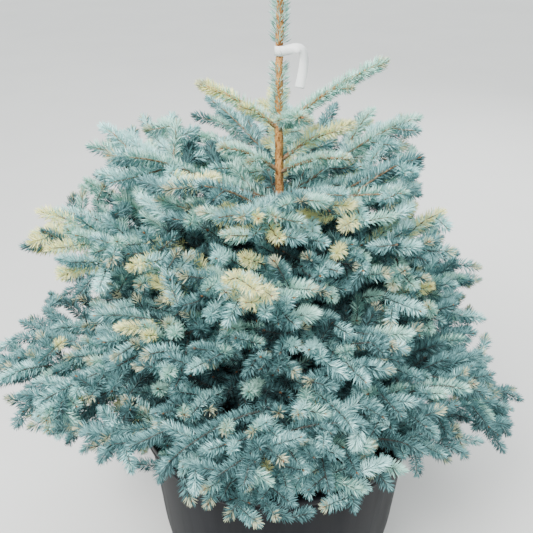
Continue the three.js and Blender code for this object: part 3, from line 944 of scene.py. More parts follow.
@dataclass(frozen=True)
class Mass:
    """One bough and the mass of foliage that it carries, in its own sector of a tier."""

    crown: Crown
    index: int
    bearing: float
    number: int
    start: float
    end: float
    vigour: float
    bow: float
    seed: int
    sway: float = 0.009
    root_fade: float = 0.100
    stagger: float = 0.0036
    stagger_ends: float = 0.060
    edge_room: float = 0.008
    middle_rank: int = 2
    top_depth: float = 0.7

    @property
    def tier(self) -> Tier:
        """The tier that the bough belongs to."""
        return TIERS[self.index]

    def path(self, s: Array) -> Array:
        """Give the middle line of the bough and its stem.

        Args:
            s: Distances over the ground from the trunk.

        Returns:
            Points by distance.
        """
        s = np.asarray(s, float)
        root = self.crown.trunk.centre(self.tier.whorl)
        rank = (self.number * 2) % self.tier.count - self.middle_rank
        aside = self.bow * self.sway * np.sin(np.minimum(1, s / self.tier.reach) * math.pi)
        near_root = np.maximum(0, 1 - s / self.root_fade)
        x = root[0] * near_root + s * math.cos(self.bearing) - aside * math.sin(self.bearing)
        y = root[1] * near_root + s * math.sin(self.bearing) + aside * math.cos(self.bearing)
        offset = rank * self.stagger * np.exp(-np.maximum(0, s) / self.stagger_ends)
        return np.stack([x, y, self.crown.height(self.index, s) + offset], axis=-1)

    def room(self, points: Array, overlap: float = 0.0) -> Array:
        """Give how far inside the mass's own space points lie.

        Args:
            points: The points, one a row.
            overlap: How far past the sector's sides the space reaches.

        Returns:
            The distances, below 0 outside.
        """
        radius = np.hypot(points[..., 0], points[..., 1])
        bearing = np.arctan2(points[..., 1], points[..., 0])
        sector = np.minimum(radius * np.sin(self.end - bearing), radius * np.sin(bearing - self.start))
        layer = np.minimum(self.crown.top(self.index, radius) - points[..., 2],
                           points[..., 2] - self.crown.foot(self.index, radius))
        notch = 1 - self.tier.notch * np.abs(np.sin(bearing - self.bearing))
        outline = self.crown.reach(self.index, bearing) * self.vigour * notch - self.edge_room - radius
        trunk = radius - self.crown.trunk.radius(points[..., 2]) - self.crown.trunk_room
        return np.minimum(np.minimum(sector + overlap, layer), np.minimum(outline, trunk))

    def depth(self, point: Array) -> float:
        """Give how far out in the light a point is.

        Args:
            point: The point.

        Returns:
            0 at the trunk, 1 at the outline, and never little on the top tier.
        """
        bearing = math.atan2(point[1], point[0])
        out = math.hypot(point[0], point[1]) / float(self.crown.reach(self.index, bearing))
        return max(out, self.top_depth) if self.index == 0 else out


BEARING_JITTER = math.radians(4)
VIGOUR = (0.96, 1.03)


def masses_of(crown: Crown, index: int) -> list[Mass]:
    """Deal a tier's boughs round the trunk, by the draws that its solids used.

    Args:
        crown: The crown.
        index: Number of the tier.

    Returns:
        The masses, counter-clockwise.
    """
    tier = TIERS[index]
    draws = Draws(SEED + index)
    step = FULL_TURN / tier.count
    bearings = []
    for k in range(tier.count):
        bearings.append(math.radians(tier.turn) + k * step + draws.between(-BEARING_JITTER, BEARING_JITTER))
    masses = []
    for k, bearing in enumerate(bearings):
        before = bearings[-1] - FULL_TURN if k == 0 else bearings[k - 1]
        after = bearings[0] + FULL_TURN if k == tier.count - 1 else bearings[k + 1]
        vigour = draws.between(*VIGOUR)
        bow = draws.between(-1, 1)
        seed = SEED + SEEDS_PER_TIER * (index + 1) + k
        masses.append(Mass(crown, index, bearing, k + 1, (before + bearing) / 2, (bearing + after) / 2,
                           vigour, bow, seed))
    return masses


@dataclass(frozen=True)
class Shoot:
    """One needled twig: its middle line, its wood, and how its needles stand."""

    line: Array
    wood: Pair
    bare: float
    needle: float
    lush: float
    tint: Tint
    bud: float = 1.0
    fresh: bool = False
    parted: float = 0.0

    @property
    def length(self) -> float:
        """Length of the twig along its line."""
        return float(np.linalg.norm(np.diff(self.line, axis=0), axis=1).sum())


@dataclass(frozen=True)
class TwigKind:
    """How twigs of one order grow: their sizes, the room that they want and how steeply they rise."""

    longest: float
    shortest: float
    clear: float
    spacing: float
    wood: Pair
    bare: float
    pitch: Pair = (0.0, 0.0)
    parted: float = 0.0


MAIN = TwigKind(longest=0.240, shortest=0.050, clear=0.012, spacing=0.0, wood=(0.0024, 0.0010), bare=0.012,
                parted=0.25)
STEM = replace(MAIN, wood=(0.0038, 0.0011), bare=0.016)
FINE = TwigKind(longest=0.170, shortest=0.050, clear=0.011, spacing=0.034, wood=(0.0017, 0.0008), bare=0.010,
                pitch=(-0.10, 0.40))
SIDE = TwigKind(longest=0.115, shortest=0.034, clear=0.006, spacing=0.034, wood=(0.0013, 0.0007), bare=0.005,
                pitch=(-0.05, 0.50))
RISING = TwigKind(longest=0.065, shortest=0.030, clear=0.010, spacing=0.034, wood=(0.0013, 0.0007),
                  bare=0.005, pitch=(0.35, 1.0))
FILLING = TwigKind(longest=0.110, shortest=0.034, clear=0.003, spacing=0.036, wood=(0.0012, 0.0007),
                   bare=0.005, pitch=(-0.25, 0.75))
# What a twig tries in turn: share of its length, share it turns in towards the stem, share of its lift.
TRIES = ((1, 0, 1), (0.86, 0, 0.8), (1, 0, 0.6), (0.74, 0, 0.6), (1, 0.3, 0.6), (0.8, 0.3, 0.6),
         (0.8, 0.3, 0.2))
# Step along a twig over which its slope is measured.
SLOPE_STEP = 0.004


@dataclass(frozen=True)
class Twig:
    """A grown twig that further ones can start from."""

    path: Path
    length: float
    heading: float
    low: float = 0.0
    high: float = 0.0

    def lift(self, s: float) -> float:
        """Give how far the twig lies above its tier's surface at a distance along it."""
        return self.high + (self.low - self.high) * (1 - s / self.length) ** 2

    def slope(self, s: float) -> float:
        """Give the angle that the twig rises at, at a distance along it."""
        ahead = self.path(np.array(s + SLOPE_STEP)) - self.path(np.array(s))
        return math.atan2(ahead[2], math.hypot(ahead[0], ahead[1]))


@dataclass
class MassGrower:
    """Grows the twigs of one mass: the stem, the twigs at its nodes, and finer ones between and on them."""

    mass: Mass
    palette: Palette
    first_node: float = 0.022
    top_first_node: float = 0.035
    past_needles: float = 0.004
    node_step: float = 0.100
    end_room: float = 0.070
    spread: float = 1.45
    spread_loss: float = 0.22
    jitter: float = math.radians(6)
    curl: float = -1.2
    most_lift: float = 0.046
    needle_room: float = 0.014
    side_spread: float = math.radians(42)
    fine_parts: int = 3
    collar_room: float = 0.035
    fine_end_room: float = 0.040
    least_spread: float = 0.45
    # A long twig forks: how long it is, where its fork stands, and how long that can be.
    fork_from: float = 0.100
    fork_at: float = 0.4
    fork_limit: float = 0.125
    lift_share: Pair = (0.6, 1.0)
    side_step: float = 0.021
    first_side: float = 0.8
    side_jitter: Pair = (0.8, 1.2)
    side_turn: Pair = (0.7, 1.25)
    rising_turn: float = 0.6
    rising_past: float = 0.012
    # Share of a twig's slope that its side shoots, and the stem's finer twigs, take on.
    side_slope: float = 0.35
    fine_slope: float = 0.5
    fills: int = 200
    fill_ends: Pair = (0.05, 0.95)
    fill_turn: float = 1.15
    searches: tuple[int, ...] = (160, 500, 480, 600, 560)
    search_rise: tuple[float, ...] = (0.012, 0.080, 0.060, 0.055, 0.050)
    search_share: Pair = (0.02, 1.0)
    empty: Pair = (0.025, 0.110)
    top_damping: float = 0.3
    bend: float = 0.9
    steepest: float = 1.1
    stem_tip_room: float = 0.0035
    # Length without further shoots at a twig's foot and tip.
    tip_room: float = 0.012
    clear_share: float = 0.8
    least_points: int = 4
    stem_step: float = 0.010
    main_step: float = 0.012
    sprout_step: float = 0.018
    step: float = 0.006
    sprout_growth: Pair = (0.6, 1.0)
    crowding: float = 0.55
    needle: float = 0.0180
    needle_jitter: Pair = (0.9, 1.06)
    # How far out needles are sparse, how far out they are dense, and how lush they are there.
    lush_span: Pair = (0.25, 0.5)
    lush: Pair = (0.5, 1.0)
    bud: Pair = (0.7, 1.15)
    bud_share: float = 0.7
    fresh_depth: float = 0.6
    fresh_share: float = 0.27
    parted_tiers: int = 2
    # How far fine shoots may sink below their tier's surface, and rise above it in the top tier.
    hang: tuple[float, ...] = (0.045, 0.030, 0.022, 0.022, 0.016)
    top_rise: float = 0.016
    inner_rise: float = 0.090
    outer_rise: float = 0.014
    rise_span: Pair = (0.55, 0.92)
    least_rise: float = 0.006
    # In front, fine shoots of the lowest tier stay above the rim, so that the pot's wall shows.
    apron: float = 0.62
    overlap: float = 0.014
    past_edge: float = math.radians(3)
    apron_room: float = -0.030
    shoots: list[Shoot] = field(default_factory=list)
    twigs: list[Twig] = field(default_factory=list)

    def __post_init__(self) -> None:
        """Set up the random numbers and the list of places that twigs already fill."""
        self.draws = Draws(self.mass.seed)
        self.fine = Draws(self.mass.seed + FINE_SEEDS)
        self.taken = np.empty((0, 3))

    def twig_path(self, start: Array, heading: float, curl: float, length: float, low: float,
                  high: float) -> Path:
        """Lay a twig's course over its tier.

        Args:
            start: Where it starts.
            heading: Its direction over the ground.
            curl: How much that direction turns for each metre.
            length: Length of the twig.
            low: Its height above the tier's surface at its foot.
            high: The same at its tip, which it nears quickly at first.

        Returns:
            The path by distance along the twig.
        """
        def path(s: Array) -> Array:
            """Give points along the twig.

            Args:
                s: Distances along it.

            Returns:
                The points.
            """
            s = np.asarray(s, float)
            way = heading + curl * s / 2
            x = start[0] + s * np.cos(way)
            y = start[1] + s * np.sin(way)
            rest = 1 - np.maximum(0, s) / length
            rise = high + (low - high) * rest**2
            return np.stack([x, y, self.mass.crown.height(self.mass.index, np.hypot(x, y)) + rise], axis=-1)
        return path

    def room_ahead(self, start: Array, heading: float, curl: float, lift: float, kind: TwigKind,
                   limit: float) -> float:
        """Find how long a level twig can be before it nears the edge of its space.

        Args:
            start: Where it starts.
            heading: Its direction over the ground.
            curl: How much that direction turns for each metre.
            lift: Its height above the tier's surface.
            kind: The order of twig.
            limit: Its greatest length.

        Returns:
            The length.
        """
        s = np.arange(kind.shortest / 2, limit, self.step)
        path = self.twig_path(start, heading, curl, limit, lift, lift)
        blocked = np.nonzero(self.mass.room(path(s)) <= kind.clear)[0]
        return float(s[blocked[0]]) if len(blocked) else limit

    def tip_lift(self, start: Array, heading: float, length: float, share: float) -> float:
        """Find how high above its tier's surface a twig's tip is.

        Args:
            start: Where the twig starts.
            heading: Its direction over the ground.
            length: Its length.
            share: Share of the layer's room that it rises or, below 0, sinks.

        Returns:
            The height.
        """
        radius = math.hypot(start[0] + length * math.cos(heading), start[1] + length * math.sin(heading))
        crown, index = self.mass.crown, self.mass.index
        edge = crown.top(index, radius) if share > 0 else crown.foot(index, radius)
        room = abs(float(edge - crown.height(index, radius))) - self.needle_room
        return share * min(self.most_lift, max(0.0, room))

    def grow(self, start: Array, heading: float, curl: float, lift: float, share: float, kind: TwigKind,
             limit: float | None = None) -> Twig | None:
        """Grow one twig: full length or shorter, then turned in, and none where it finds no room.

        Args:
            start: Where it starts.
            heading: Its direction over the ground.
            curl: How much that direction turns for each metre.
            lift: Its height above the tier's surface at its foot.
            share: Share of the layer's room that its tip rises or sinks.
            kind: The order of twig.
            limit: Its greatest length, where that isn't the kind's.

        Returns:
            The twig, or nothing.
        """
        limit = kind.longest if limit is None else limit
        for part, turned_in, lifted in TRIES:
            way = heading + (self.mass.bearing - heading) * turned_in
            length = self.room_ahead(start, way, curl, lift, kind, limit) * part
            if length < kind.shortest:
                continue
            high = self.tip_lift(start, way, length, share) * lifted
            path = self.twig_path(start, way, curl, length, lift, high)
            line = path(np.linspace(0, length, max(self.least_points, round(length / self.main_step))))
            if self.mass.room(line[2:]).min() < kind.clear * self.clear_share:
                continue
            twig = Twig(path, length, way, lift, high)
            self.keep(line, kind, twig)
            return twig
        return None

    def sprout(self, start: Array, heading: float, pitch: float, kind: TwigKind) -> Twig | None:
        """Grow a finer twig on a course of its own, up to where it would crowd another or leave its space.

        Args:
            start: Where it starts.
            heading: Its direction over the ground.
            pitch: The angle that it rises at; it bends up a little more towards its tip.
            kind: The order of twig.

        Returns:
            The twig, or nothing.
        """
        pitch = max(-self.steepest, min(self.steepest, pitch))
        if self.mass.index == 0:
            pitch *= self.top_damping
        flat, rise = math.cos(pitch), math.sin(pitch)

        def path(s: Array) -> Array:
            """Give points along the twig.

            Args:
                s: Distances along it.

            Returns:
                The points.
            """
            s = np.asarray(s, float)
            x = start[0] + s * flat * math.cos(heading)
            y = start[1] + s * flat * math.sin(heading)
            return np.stack([x, y, start[2] + s * rise + self.bend * s**2], axis=-1)

        limit = kind.longest * self.fine.between(*self.sprout_growth)
        s = np.arange(self.tip_room, limit, self.step)
        points = path(s)
        apart = np.linalg.norm(self.taken[:, None] - points[None], axis=-1).min(axis=0)
        stopped = (self.mass.room(points, self.overlap) < kind.clear) & (s > kind.shortest / 2)
        stopped |= apart < np.minimum(kind.spacing, self.crowding * s)
        surface = self.mass.crown.height(self.mass.index, np.hypot(points[:, 0], points[:, 1]))
        stopped |= points[:, 2] < np.minimum(surface - self.hang[self.mass.index], start[2])
        stopped |= points[:, 2] > np.maximum(surface + self.rise(points), start[2] + self.least_rise)
        if self.mass.index == len(TIERS) - 1:
            facing = -points[:, 1] > self.apron * np.hypot(points[:, 0], points[:, 1])
            stopped |= facing & (points[:, 2] < self.mass.crown.pot_height + self.apron_room)
        found = np.nonzero(stopped)[0]
        length = float(s[found[0]]) - self.step if len(found) else limit
        if length < kind.shortest:
            return None
        twig = Twig(path, length, heading)
        line = path(np.linspace(0, length, max(self.least_points, round(length / self.sprout_step))))
        self.keep(line, kind, twig)
        return twig

    def rise(self, points: Array) -> Array:
        """Give how far fine shoots may rise above their tier's surface, less the nearer to the outline.

        Args:
            points: Points of the shoots.

        Returns:
            The heights.
        """
        if self.mass.index == 0:
            return np.full(len(points), self.top_rise)
        radius = np.hypot(points[:, 0], points[:, 1])
        reach = self.mass.crown.reach(self.mass.index, np.arctan2(points[:, 1], points[:, 0]))
        return np.interp(radius / reach, self.rise_span, (self.inner_rise, self.outer_rise))

    def keep(self, line: Array, kind: TwigKind, twig: Twig) -> None:
        """Keep a grown twig as a needled shoot, and for others to start from.

        Args:
            line: Points along it.
            kind: The order of twig.
            twig: The twig.
        """
        depth = self.mass.depth(line[-1])
        tint = self.palette.pick(line[-1], depth, self.fine)
        lush = float(np.interp(depth, self.lush_span, self.lush))
        needle = self.needle * self.fine.between(*self.needle_jitter)
        bud = self.fine.between(*self.bud) if self.fine.next() < self.bud_share else 0.0
        fresh = depth > self.fresh_depth and self.fine.next() < self.fresh_share
        parted = kind.parted if self.mass.index < self.parted_tiers else 0.0
        self.shoots.append(Shoot(line, kind.wood, kind.bare, needle, lush, tint, bud, fresh, parted))
        self.taken = np.concatenate([self.taken, line[1:]])
        self.twigs.append(twig)

    def side_shoots(self, twig: Twig, first: float, kind: TwigKind) -> None:
        """Grow the shoots that a twig bears by turns on its two sides.

        Args:
            twig: The twig.
            first: Where along it the first one stands.
            kind: The order of shoot.
        """
        side = 1 if self.fine.next() < 0.5 else -1
        at = first
        while at < twig.length - self.tip_room:
            heading = twig.heading + side * self.side_spread * self.fine.between(*self.side_turn)
            pitch = twig.slope(at) * self.side_slope + self.fine.between(*kind.pitch)
            self.sprout(twig.path(np.array(at)), heading, pitch, kind)
            side = -side
            at += self.side_step * self.fine.between(*self.side_jitter)

    def fill(self) -> None:
        """Let shoots sprout at random, mostly away from the trunk, and then towards empty places."""
        for _ in range(self.fills):
            twig = self.twigs[int(self.fine.next() * len(self.twigs))]
            at = twig.length * self.fine.between(*self.fill_ends)
            start = twig.path(np.array(at))
            heading = math.atan2(start[1], start[0]) + self.fine.between(-self.fill_turn, self.fill_turn)
            self.sprout(start, heading, self.fine.between(*FILLING.pitch), FILLING)
        mass, crown = self.mass, self.mass.crown
        above = self.search_rise[mass.index]
        for _ in range(self.searches[mass.index]):
            bearing = self.fine.between(mass.start - self.past_edge, mass.end + self.past_edge)
            out = math.sqrt(self.fine.between(*self.search_share))
            radius = float(crown.reach(mass.index, bearing)) * out
            lifted = self.fine.between(-self.hang[mass.index], above)
            height = float(crown.height(mass.index, radius)) + lifted
            place = np.array([radius * math.cos(bearing), radius * math.sin(bearing), height])
            apart = np.linalg.norm(self.taken - place, axis=1)
            nearest = int(np.argmin(apart))
            if not self.empty[0] < apart[nearest] < self.empty[1]:
                continue
            if float(mass.room(place, self.overlap)) < FILLING.clear:
                continue
            start = self.taken[nearest]
            ahead = place - start
            pitch = math.atan2(ahead[2], math.hypot(ahead[0], ahead[1]))
            self.sprout(start, math.atan2(ahead[1], ahead[0]), pitch, FILLING)

    def node(self, at: float, spread: float, rising: int, stem: Path) -> None:
        """Grow the main twigs of one node of the stem, by the solids' own draws.

        Args:
            at: Where the node stands along the stem.
            spread: Share of the half sector that its twigs spread.
            rising: 1 where the first side's twig rises, or else -1.
            stem: The stem's course.
        """
        half_sector = math.pi / self.mass.tier.count
        for side in (1, -1):
            aside = spread * half_sector + self.jitter * self.draws.between(-1, 1)
            heading = self.mass.bearing + side * aside
            share = rising * side * self.draws.between(*self.lift_share)
            side_share = -share * self.draws.between(*self.lift_share)
            turn = 1 if self.draws.next() < 0.5 else -1
            twig = self.grow(stem(np.array(at)), heading, side * self.curl, 0.0, share, MAIN)
            if twig and twig.length >= self.fork_from:
                fork = twig.length * self.fork_at
                self.grow(twig.path(np.array(fork)), heading + turn * self.side_spread, 0.0, twig.lift(fork),
                          side_share, MAIN, self.fork_limit)

    def fine_node(self, at: float, spread: float, stem: Twig) -> None:
        """Grow the finer twigs between two nodes, and one that rises from the stem.

        Args:
            at: Where they stand along the stem.
            spread: Share of the half sector that they spread.
            stem: The stem.
        """
        half_sector = math.pi / self.mass.tier.count
        start = stem.path(np.array(at))
        for side in (1, -1):
            aside = spread * half_sector + self.jitter * self.fine.between(-1, 1)
            pitch = stem.slope(at) * self.fine_slope + self.fine.between(*FINE.pitch)
            self.sprout(start, self.mass.bearing + side * aside, pitch, FINE)
        heading = self.mass.bearing + self.fine.between(-self.rising_turn, self.rising_turn)
        start = stem.path(np.array(at + self.rising_past))
        self.sprout(start, heading, self.fine.between(*RISING.pitch), RISING)

    def run(self) -> list[Shoot]:
        """Grow the whole mass.

        Returns:
            Its shoots, with the stem first.
        """
        mass = self.mass
        begin = mass.tier.inner
        length = float(mass.crown.reach(mass.index, mass.bearing)) * mass.vigour - self.stem_tip_room - begin
        first_needles = self.first_node if begin > 0 else self.top_first_node

        def stem(s: Array) -> Array:
            """Give points of the stem by distance from the bough's end."""
            return mass.path(begin + s)

        line = stem(np.linspace(0, length - self.tip_room, round(length / self.stem_step)))
        whole = Twig(stem, length - self.tip_room, mass.bearing)
        self.keep(line, STEM, whole)
        spread = self.spread
        rising = 1 if mass.number % 2 == 0 else -1
        at = first_needles + self.past_needles
        while at < length - self.end_room:
            self.node(at, spread, rising, stem)
            spread -= self.spread_loss
            rising = -rising
            at += self.node_step
        fine_step = self.node_step / self.fine_parts
        at = self.past_needles - max(0.0, begin - self.collar_room)
        while at < length - self.fine_end_room:
            along = (at - first_needles) / self.node_step
            self.fine_node(at, max(self.least_spread, self.spread - self.spread_loss * along), whole)
            at += fine_step
        for twig in list(self.twigs):
            self.side_shoots(twig, self.side_step * self.first_side, SIDE)
        self.fill()
        return self.shoots


@dataclass(frozen=True)
class SingleShoot:
    """A shoot that leaves the leader or the trunk on its own, arched over towards its tip."""

    node: str
    base: float
    bearing: float
    tip_radius: float
    tip_height: float
    arch: float = 0.009
    bare: float = 0.010
    needle: float = 0.0165
    lush: float = 1.9
    points: int = 14
    wood: Pair = (0.0040, 0.0026)
    bud: float = 1.5
    parted: float = 0.75
    sage_share: float = 0.7
    # Its short twigs: their number, the points that they stand at, and what they are like.
    twigs: int = 2
    first_twig: int = 4
    twig_step: int = 3
    twig_turn: Pair = (38, 52)
    twig_rise: Pair = (0.15, 0.5)
    twig_length: Pair = (0.028, 0.042)
    twig_points: int = 5
    twig_wood: Pair = (0.0013, 0.0008)
    twig_bare: float = 0.003
    twig_needle: float = 0.9
    twig_lush: float = 1.2
    twig_bud: float = 0.9

    def grow(self, trunk: Trunk, draws: Draws) -> list[Shoot]:
        """Grow the shoot and its two short twigs.

        Args:
            trunk: The trunk that it leaves.
            draws: Random numbers.

        Returns:
            The shoots.
        """
        bearing = math.radians(self.bearing)
        root = trunk.centre(self.base)
        x, y = math.cos(bearing) * self.tip_radius, math.sin(bearing) * self.tip_radius
        tip = np.array([x, y, self.tip_height])
        share = np.linspace(0, 1, self.points)
        line = root + np.outer(share, tip - root) + np.outer(np.sin(share * math.pi) * self.arch, UP)
        tint = Tint.SAGE if draws.next() < self.sage_share else Tint.CREAM
        start = float(trunk.radius(self.base)) + self.bare
        shoots = [Shoot(line, self.wood, start, self.needle, self.lush, tint, self.bud, True, self.parted)]
        for k in range(self.twigs):
            side = 1 if k % 2 == 0 else -1
            foot = line[self.first_twig + self.twig_step * k]
            way = bearing + side * math.radians(draws.between(*self.twig_turn))
            ahead = np.array([math.cos(way), math.sin(way), draws.between(*self.twig_rise)])
            ahead = ahead * draws.between(*self.twig_length)
            small = foot + np.outer(np.linspace(0, 1, self.twig_points), ahead)
            shoots.append(Shoot(small, self.twig_wood, self.twig_bare, self.needle * self.twig_needle,
                                self.twig_lush, tint, self.twig_bud, True))
        return shoots


SINGLE_SHOOTS = (
    SingleShoot("top_shoot_1", 0.957, 183, 0.124, 1.030),
    SingleShoot("top_shoot_2", 0.957, 357, 0.152, 1.064),
    SingleShoot("top_shoot_3", 0.954, 290, 0.078, 1.000),
    SingleShoot("top_shoot_4", 0.955, 100, 0.072, 1.004),
    SingleShoot("side_shoot_1", 0.903, 6, 0.112, 0.962),
    SingleShoot("side_shoot_2", 0.884, 326, 0.118, 0.934),
    SingleShoot("side_shoot_3", 0.886, 190, 0.096, 0.934),
    SingleShoot("side_shoot_4", 0.892, 96, 0.104, 0.944),
)


@dataclass(frozen=True)
class NeedleCoat:
    """Needles on shoots: slim folded blades that stand out all round and close in over the bud."""

    per_metre: float = 3200.0
    wing: float = 0.00127
    widest: float = 0.50
    fold: float = 0.90
    fewest: int = 6
    turn_spread: float = 0.35
    jitter: Pair = (0.89, 1.07)
    # Needles are shorter next to the tip and at the foot: how far, and how short.
    short_tip: Pair = (0.012, 0.72)
    short_foot: Pair = (0.015, 0.8)
    # Where needles are missing on a parted shoot: from how far up, how soon, and how far from the tip.
    parted_from: float = 0.45
    parted_fade: float = 0.3
    parted_tip: float = 0.03
    # Distance from the tip, and the angle between needle and twig there.
    tip_marks: tuple[float, ...] = (0.0, 0.005, 0.016, 0.045)
    lean: tuple[float, ...] = (0.15, 0.62, 1.02, 1.14)
    # How far up or down a needle points, and the share of such needles painted a step lighter as painted
    # light, and a step deeper as painted shade.
    upward: tuple[float, ...] = (-0.9, -0.2, 0.2, 0.9)
    painted_light_step: tuple[float, ...] = (0.04, 0.06, 0.22, 0.70)
    painted_shade_step: tuple[float, ...] = (0.75, 0.28, 0.06, 0.02)
    fresh_length: float = 0.012
    fresh_share: float = 0.55
    # Distance from the tip, and the share of a cream shoot's needles that are cream there.
    cream_marks: tuple[float, ...] = (0.015, 0.060)
    cream_share: tuple[float, ...] = (0.92, 0.30)
    lean_spread: float = 0.085
    sweep: float = 0.16
    sink: float = 0.4
    tip_crowding: float = 0.86

    def count(self, shoot: Shoot) -> int:
        """Count a shoot's needles."""
        return max(self.fewest, round((shoot.length - shoot.bare) * self.per_metre * shoot.lush))

    def add(self, pile: Pile, shoot: Shoot, rng: Rng) -> None:
        """Add a shoot's needles to a pile.

        Args:
            pile: The pile.
            shoot: The shoot.
            rng: Random numbers.
        """
        count = self.count(shoot)
        steps = np.linalg.norm(np.diff(shoot.line, axis=0), axis=1)
        marks = np.concatenate([[0], np.cumsum(steps)])
        length = marks[-1]
        share = ((np.arange(count) + rng.random(count)) / count) ** self.tip_crowding
        s = shoot.bare + (length - shoot.bare) * share
        tangents = unit(np.gradient(shoot.line, axis=0))
        place = np.stack([np.interp(s, marks, shoot.line[:, k]) for k in range(3)], axis=1)
        ahead = unit(np.stack([np.interp(s, marks, tangents[:, k]) for k in range(3)], axis=1))
        level, third = across(ahead)
        turn = (np.arange(count) * GOLDEN_TURN + rng.normal(0, self.turn_spread, count))[:, None]
        out = np.cos(turn) * level + np.sin(turn) * third
        to_tip = length - s
        lean = np.interp(to_tip, self.tip_marks, self.lean) + rng.normal(0, self.lean_spread, count)
        way = np.cos(lean)[:, None] * ahead + np.sin(lean)[:, None] * out
        way = unit(way + UP * self.sweep)
        reach, least = self.short_tip
        size = shoot.needle * np.interp(to_tip, (0, reach), (least, 1)) * rng.uniform(*self.jitter, count)
        reach, least = self.short_foot
        size *= np.interp(s - shoot.bare, (0, reach), (least, 1))
        root = place + out * np.interp(s / length, (0, 1), shoot.wood)[:, None] * self.sink
        tints = self.mottle(shoot, to_tip, out[:, 2], rng)
        parting = shoot.parted * np.clip((out[:, 2] - self.parted_from) / self.parted_fade, 0, 1)
        parting = parting * np.clip(to_tip / self.parted_tip, 0, 1)
        kept = rng.random(count) >= parting
        self.add_needles(pile, root[kept], way[kept], size[kept], tints[kept], rng)

    def mottle(self, shoot: Shoot, to_tip: Array, up: Array, rng: Rng) -> Array:
        """Give each needle its tint: often a step lighter than its shoot's on top as painted light, and a
        step deeper below as painted shade.

        Args:
            shoot: The shoot.
            to_tip: Each needle's distance from the shoot's tip.
            up: How far up each needle stands out, from -1 to 1.
            rng: Random numbers.

        Returns:
            Numbers of the tints.
        """
        chance = rng.random(len(to_tip))
        tints = np.full(len(to_tip), shoot.tint.number)
        # Upward needles take painted light, downward ones painted shade.
        tints[chance < np.interp(up, self.upward, self.painted_light_step)] = shoot.tint.painted_light_step.number
        tints[chance > 1 - np.interp(up, self.upward, self.painted_shade_step)] = shoot.tint.painted_shade_step.number
        if shoot.tint is Tint.CREAM:
            cream = np.interp(to_tip, self.cream_marks, self.cream_share)
            tints = np.where(chance < cream, Tint.CREAM.number, Tint.SAGE.number)
        if shoot.fresh:
            tints[(to_tip < self.fresh_length) & (chance < self.fresh_share)] = Tint.FRESH.number
        return tints

    def add_needles(self, pile: Pile, root: Array, way: Array, size: Array, tints: Array, rng: Rng) -> None:
        """Add needles as blades folded along the middle.

        Args:
            pile: The pile.
            root: Where each needle starts.
            way: Its direction.
            size: Its length.
            tints: The number of its tint.
            rng: Random numbers.
        """
        count = len(root)
        level, third = across(way)
        phase = rng.uniform(0, FULL_TURN, count)
        middle = root + way * (size * self.widest)[:, None]
        wings = []
        for side in (-1, 1):
            angle = (phase + side * self.fold)[:, None]
            wings.append(middle + self.wing * (np.cos(angle) * level + np.sin(angle) * third))
        points = np.stack([root, wings[0], root + way * size[:, None], wings[1]], axis=1).reshape(-1, 3)
        first = np.arange(count)[:, None, None] * 4
        faces = (first + np.array([[0, 1, 2], [0, 2, 3]])[None]).reshape(-1, 3)
        pile.add(points, faces, np.repeat(tints, 2))


@dataclass(frozen=True)
class TrunkShoots:
    """Short shoots that the trunk bears between its whorls, down inside the crown."""

    low: float = 0.475
    high: float = 0.800
    step: float = 0.0042
    length: Pair = (0.060, 0.140)
    pitch: Pair = (0.15, 0.75)
    needle: float = 0.0185
    lush: float = 0.75
    turn_spread: float = 0.2
    points: int = 6
    wood: Pair = (0.0018, 0.0009)
    bare: float = 0.016
    deep_share: float = 0.4

    def grow(self, trunk: Trunk, draws: Draws) -> list[Shoot]:
        """Grow the shoots.

        Args:
            trunk: The trunk.
            draws: Random numbers.

        Returns:
            The shoots.
        """
        shoots = []
        for k in range(round((self.high - self.low) / self.step)):
            height = self.low + k * self.step
            bearing = k * GOLDEN_TURN + draws.between(-self.turn_spread, self.turn_spread)
            pitch = draws.between(*self.pitch)
            length = draws.between(*self.length)
            ahead = np.array([math.cos(bearing) * math.cos(pitch), math.sin(bearing) * math.cos(pitch),
                              math.sin(pitch)])
            line = trunk.centre(height) + np.outer(np.linspace(0, 1, self.points), ahead * length)
            # Shoots inside the crown take the deep teal painted shade, or steel.
            tint = Tint.TEAL_SHADE if draws.next() < self.deep_share else Tint.STEEL
            shoots.append(Shoot(line, self.wood, self.bare, self.needle, self.lush, tint, 0.0))
        return shoots


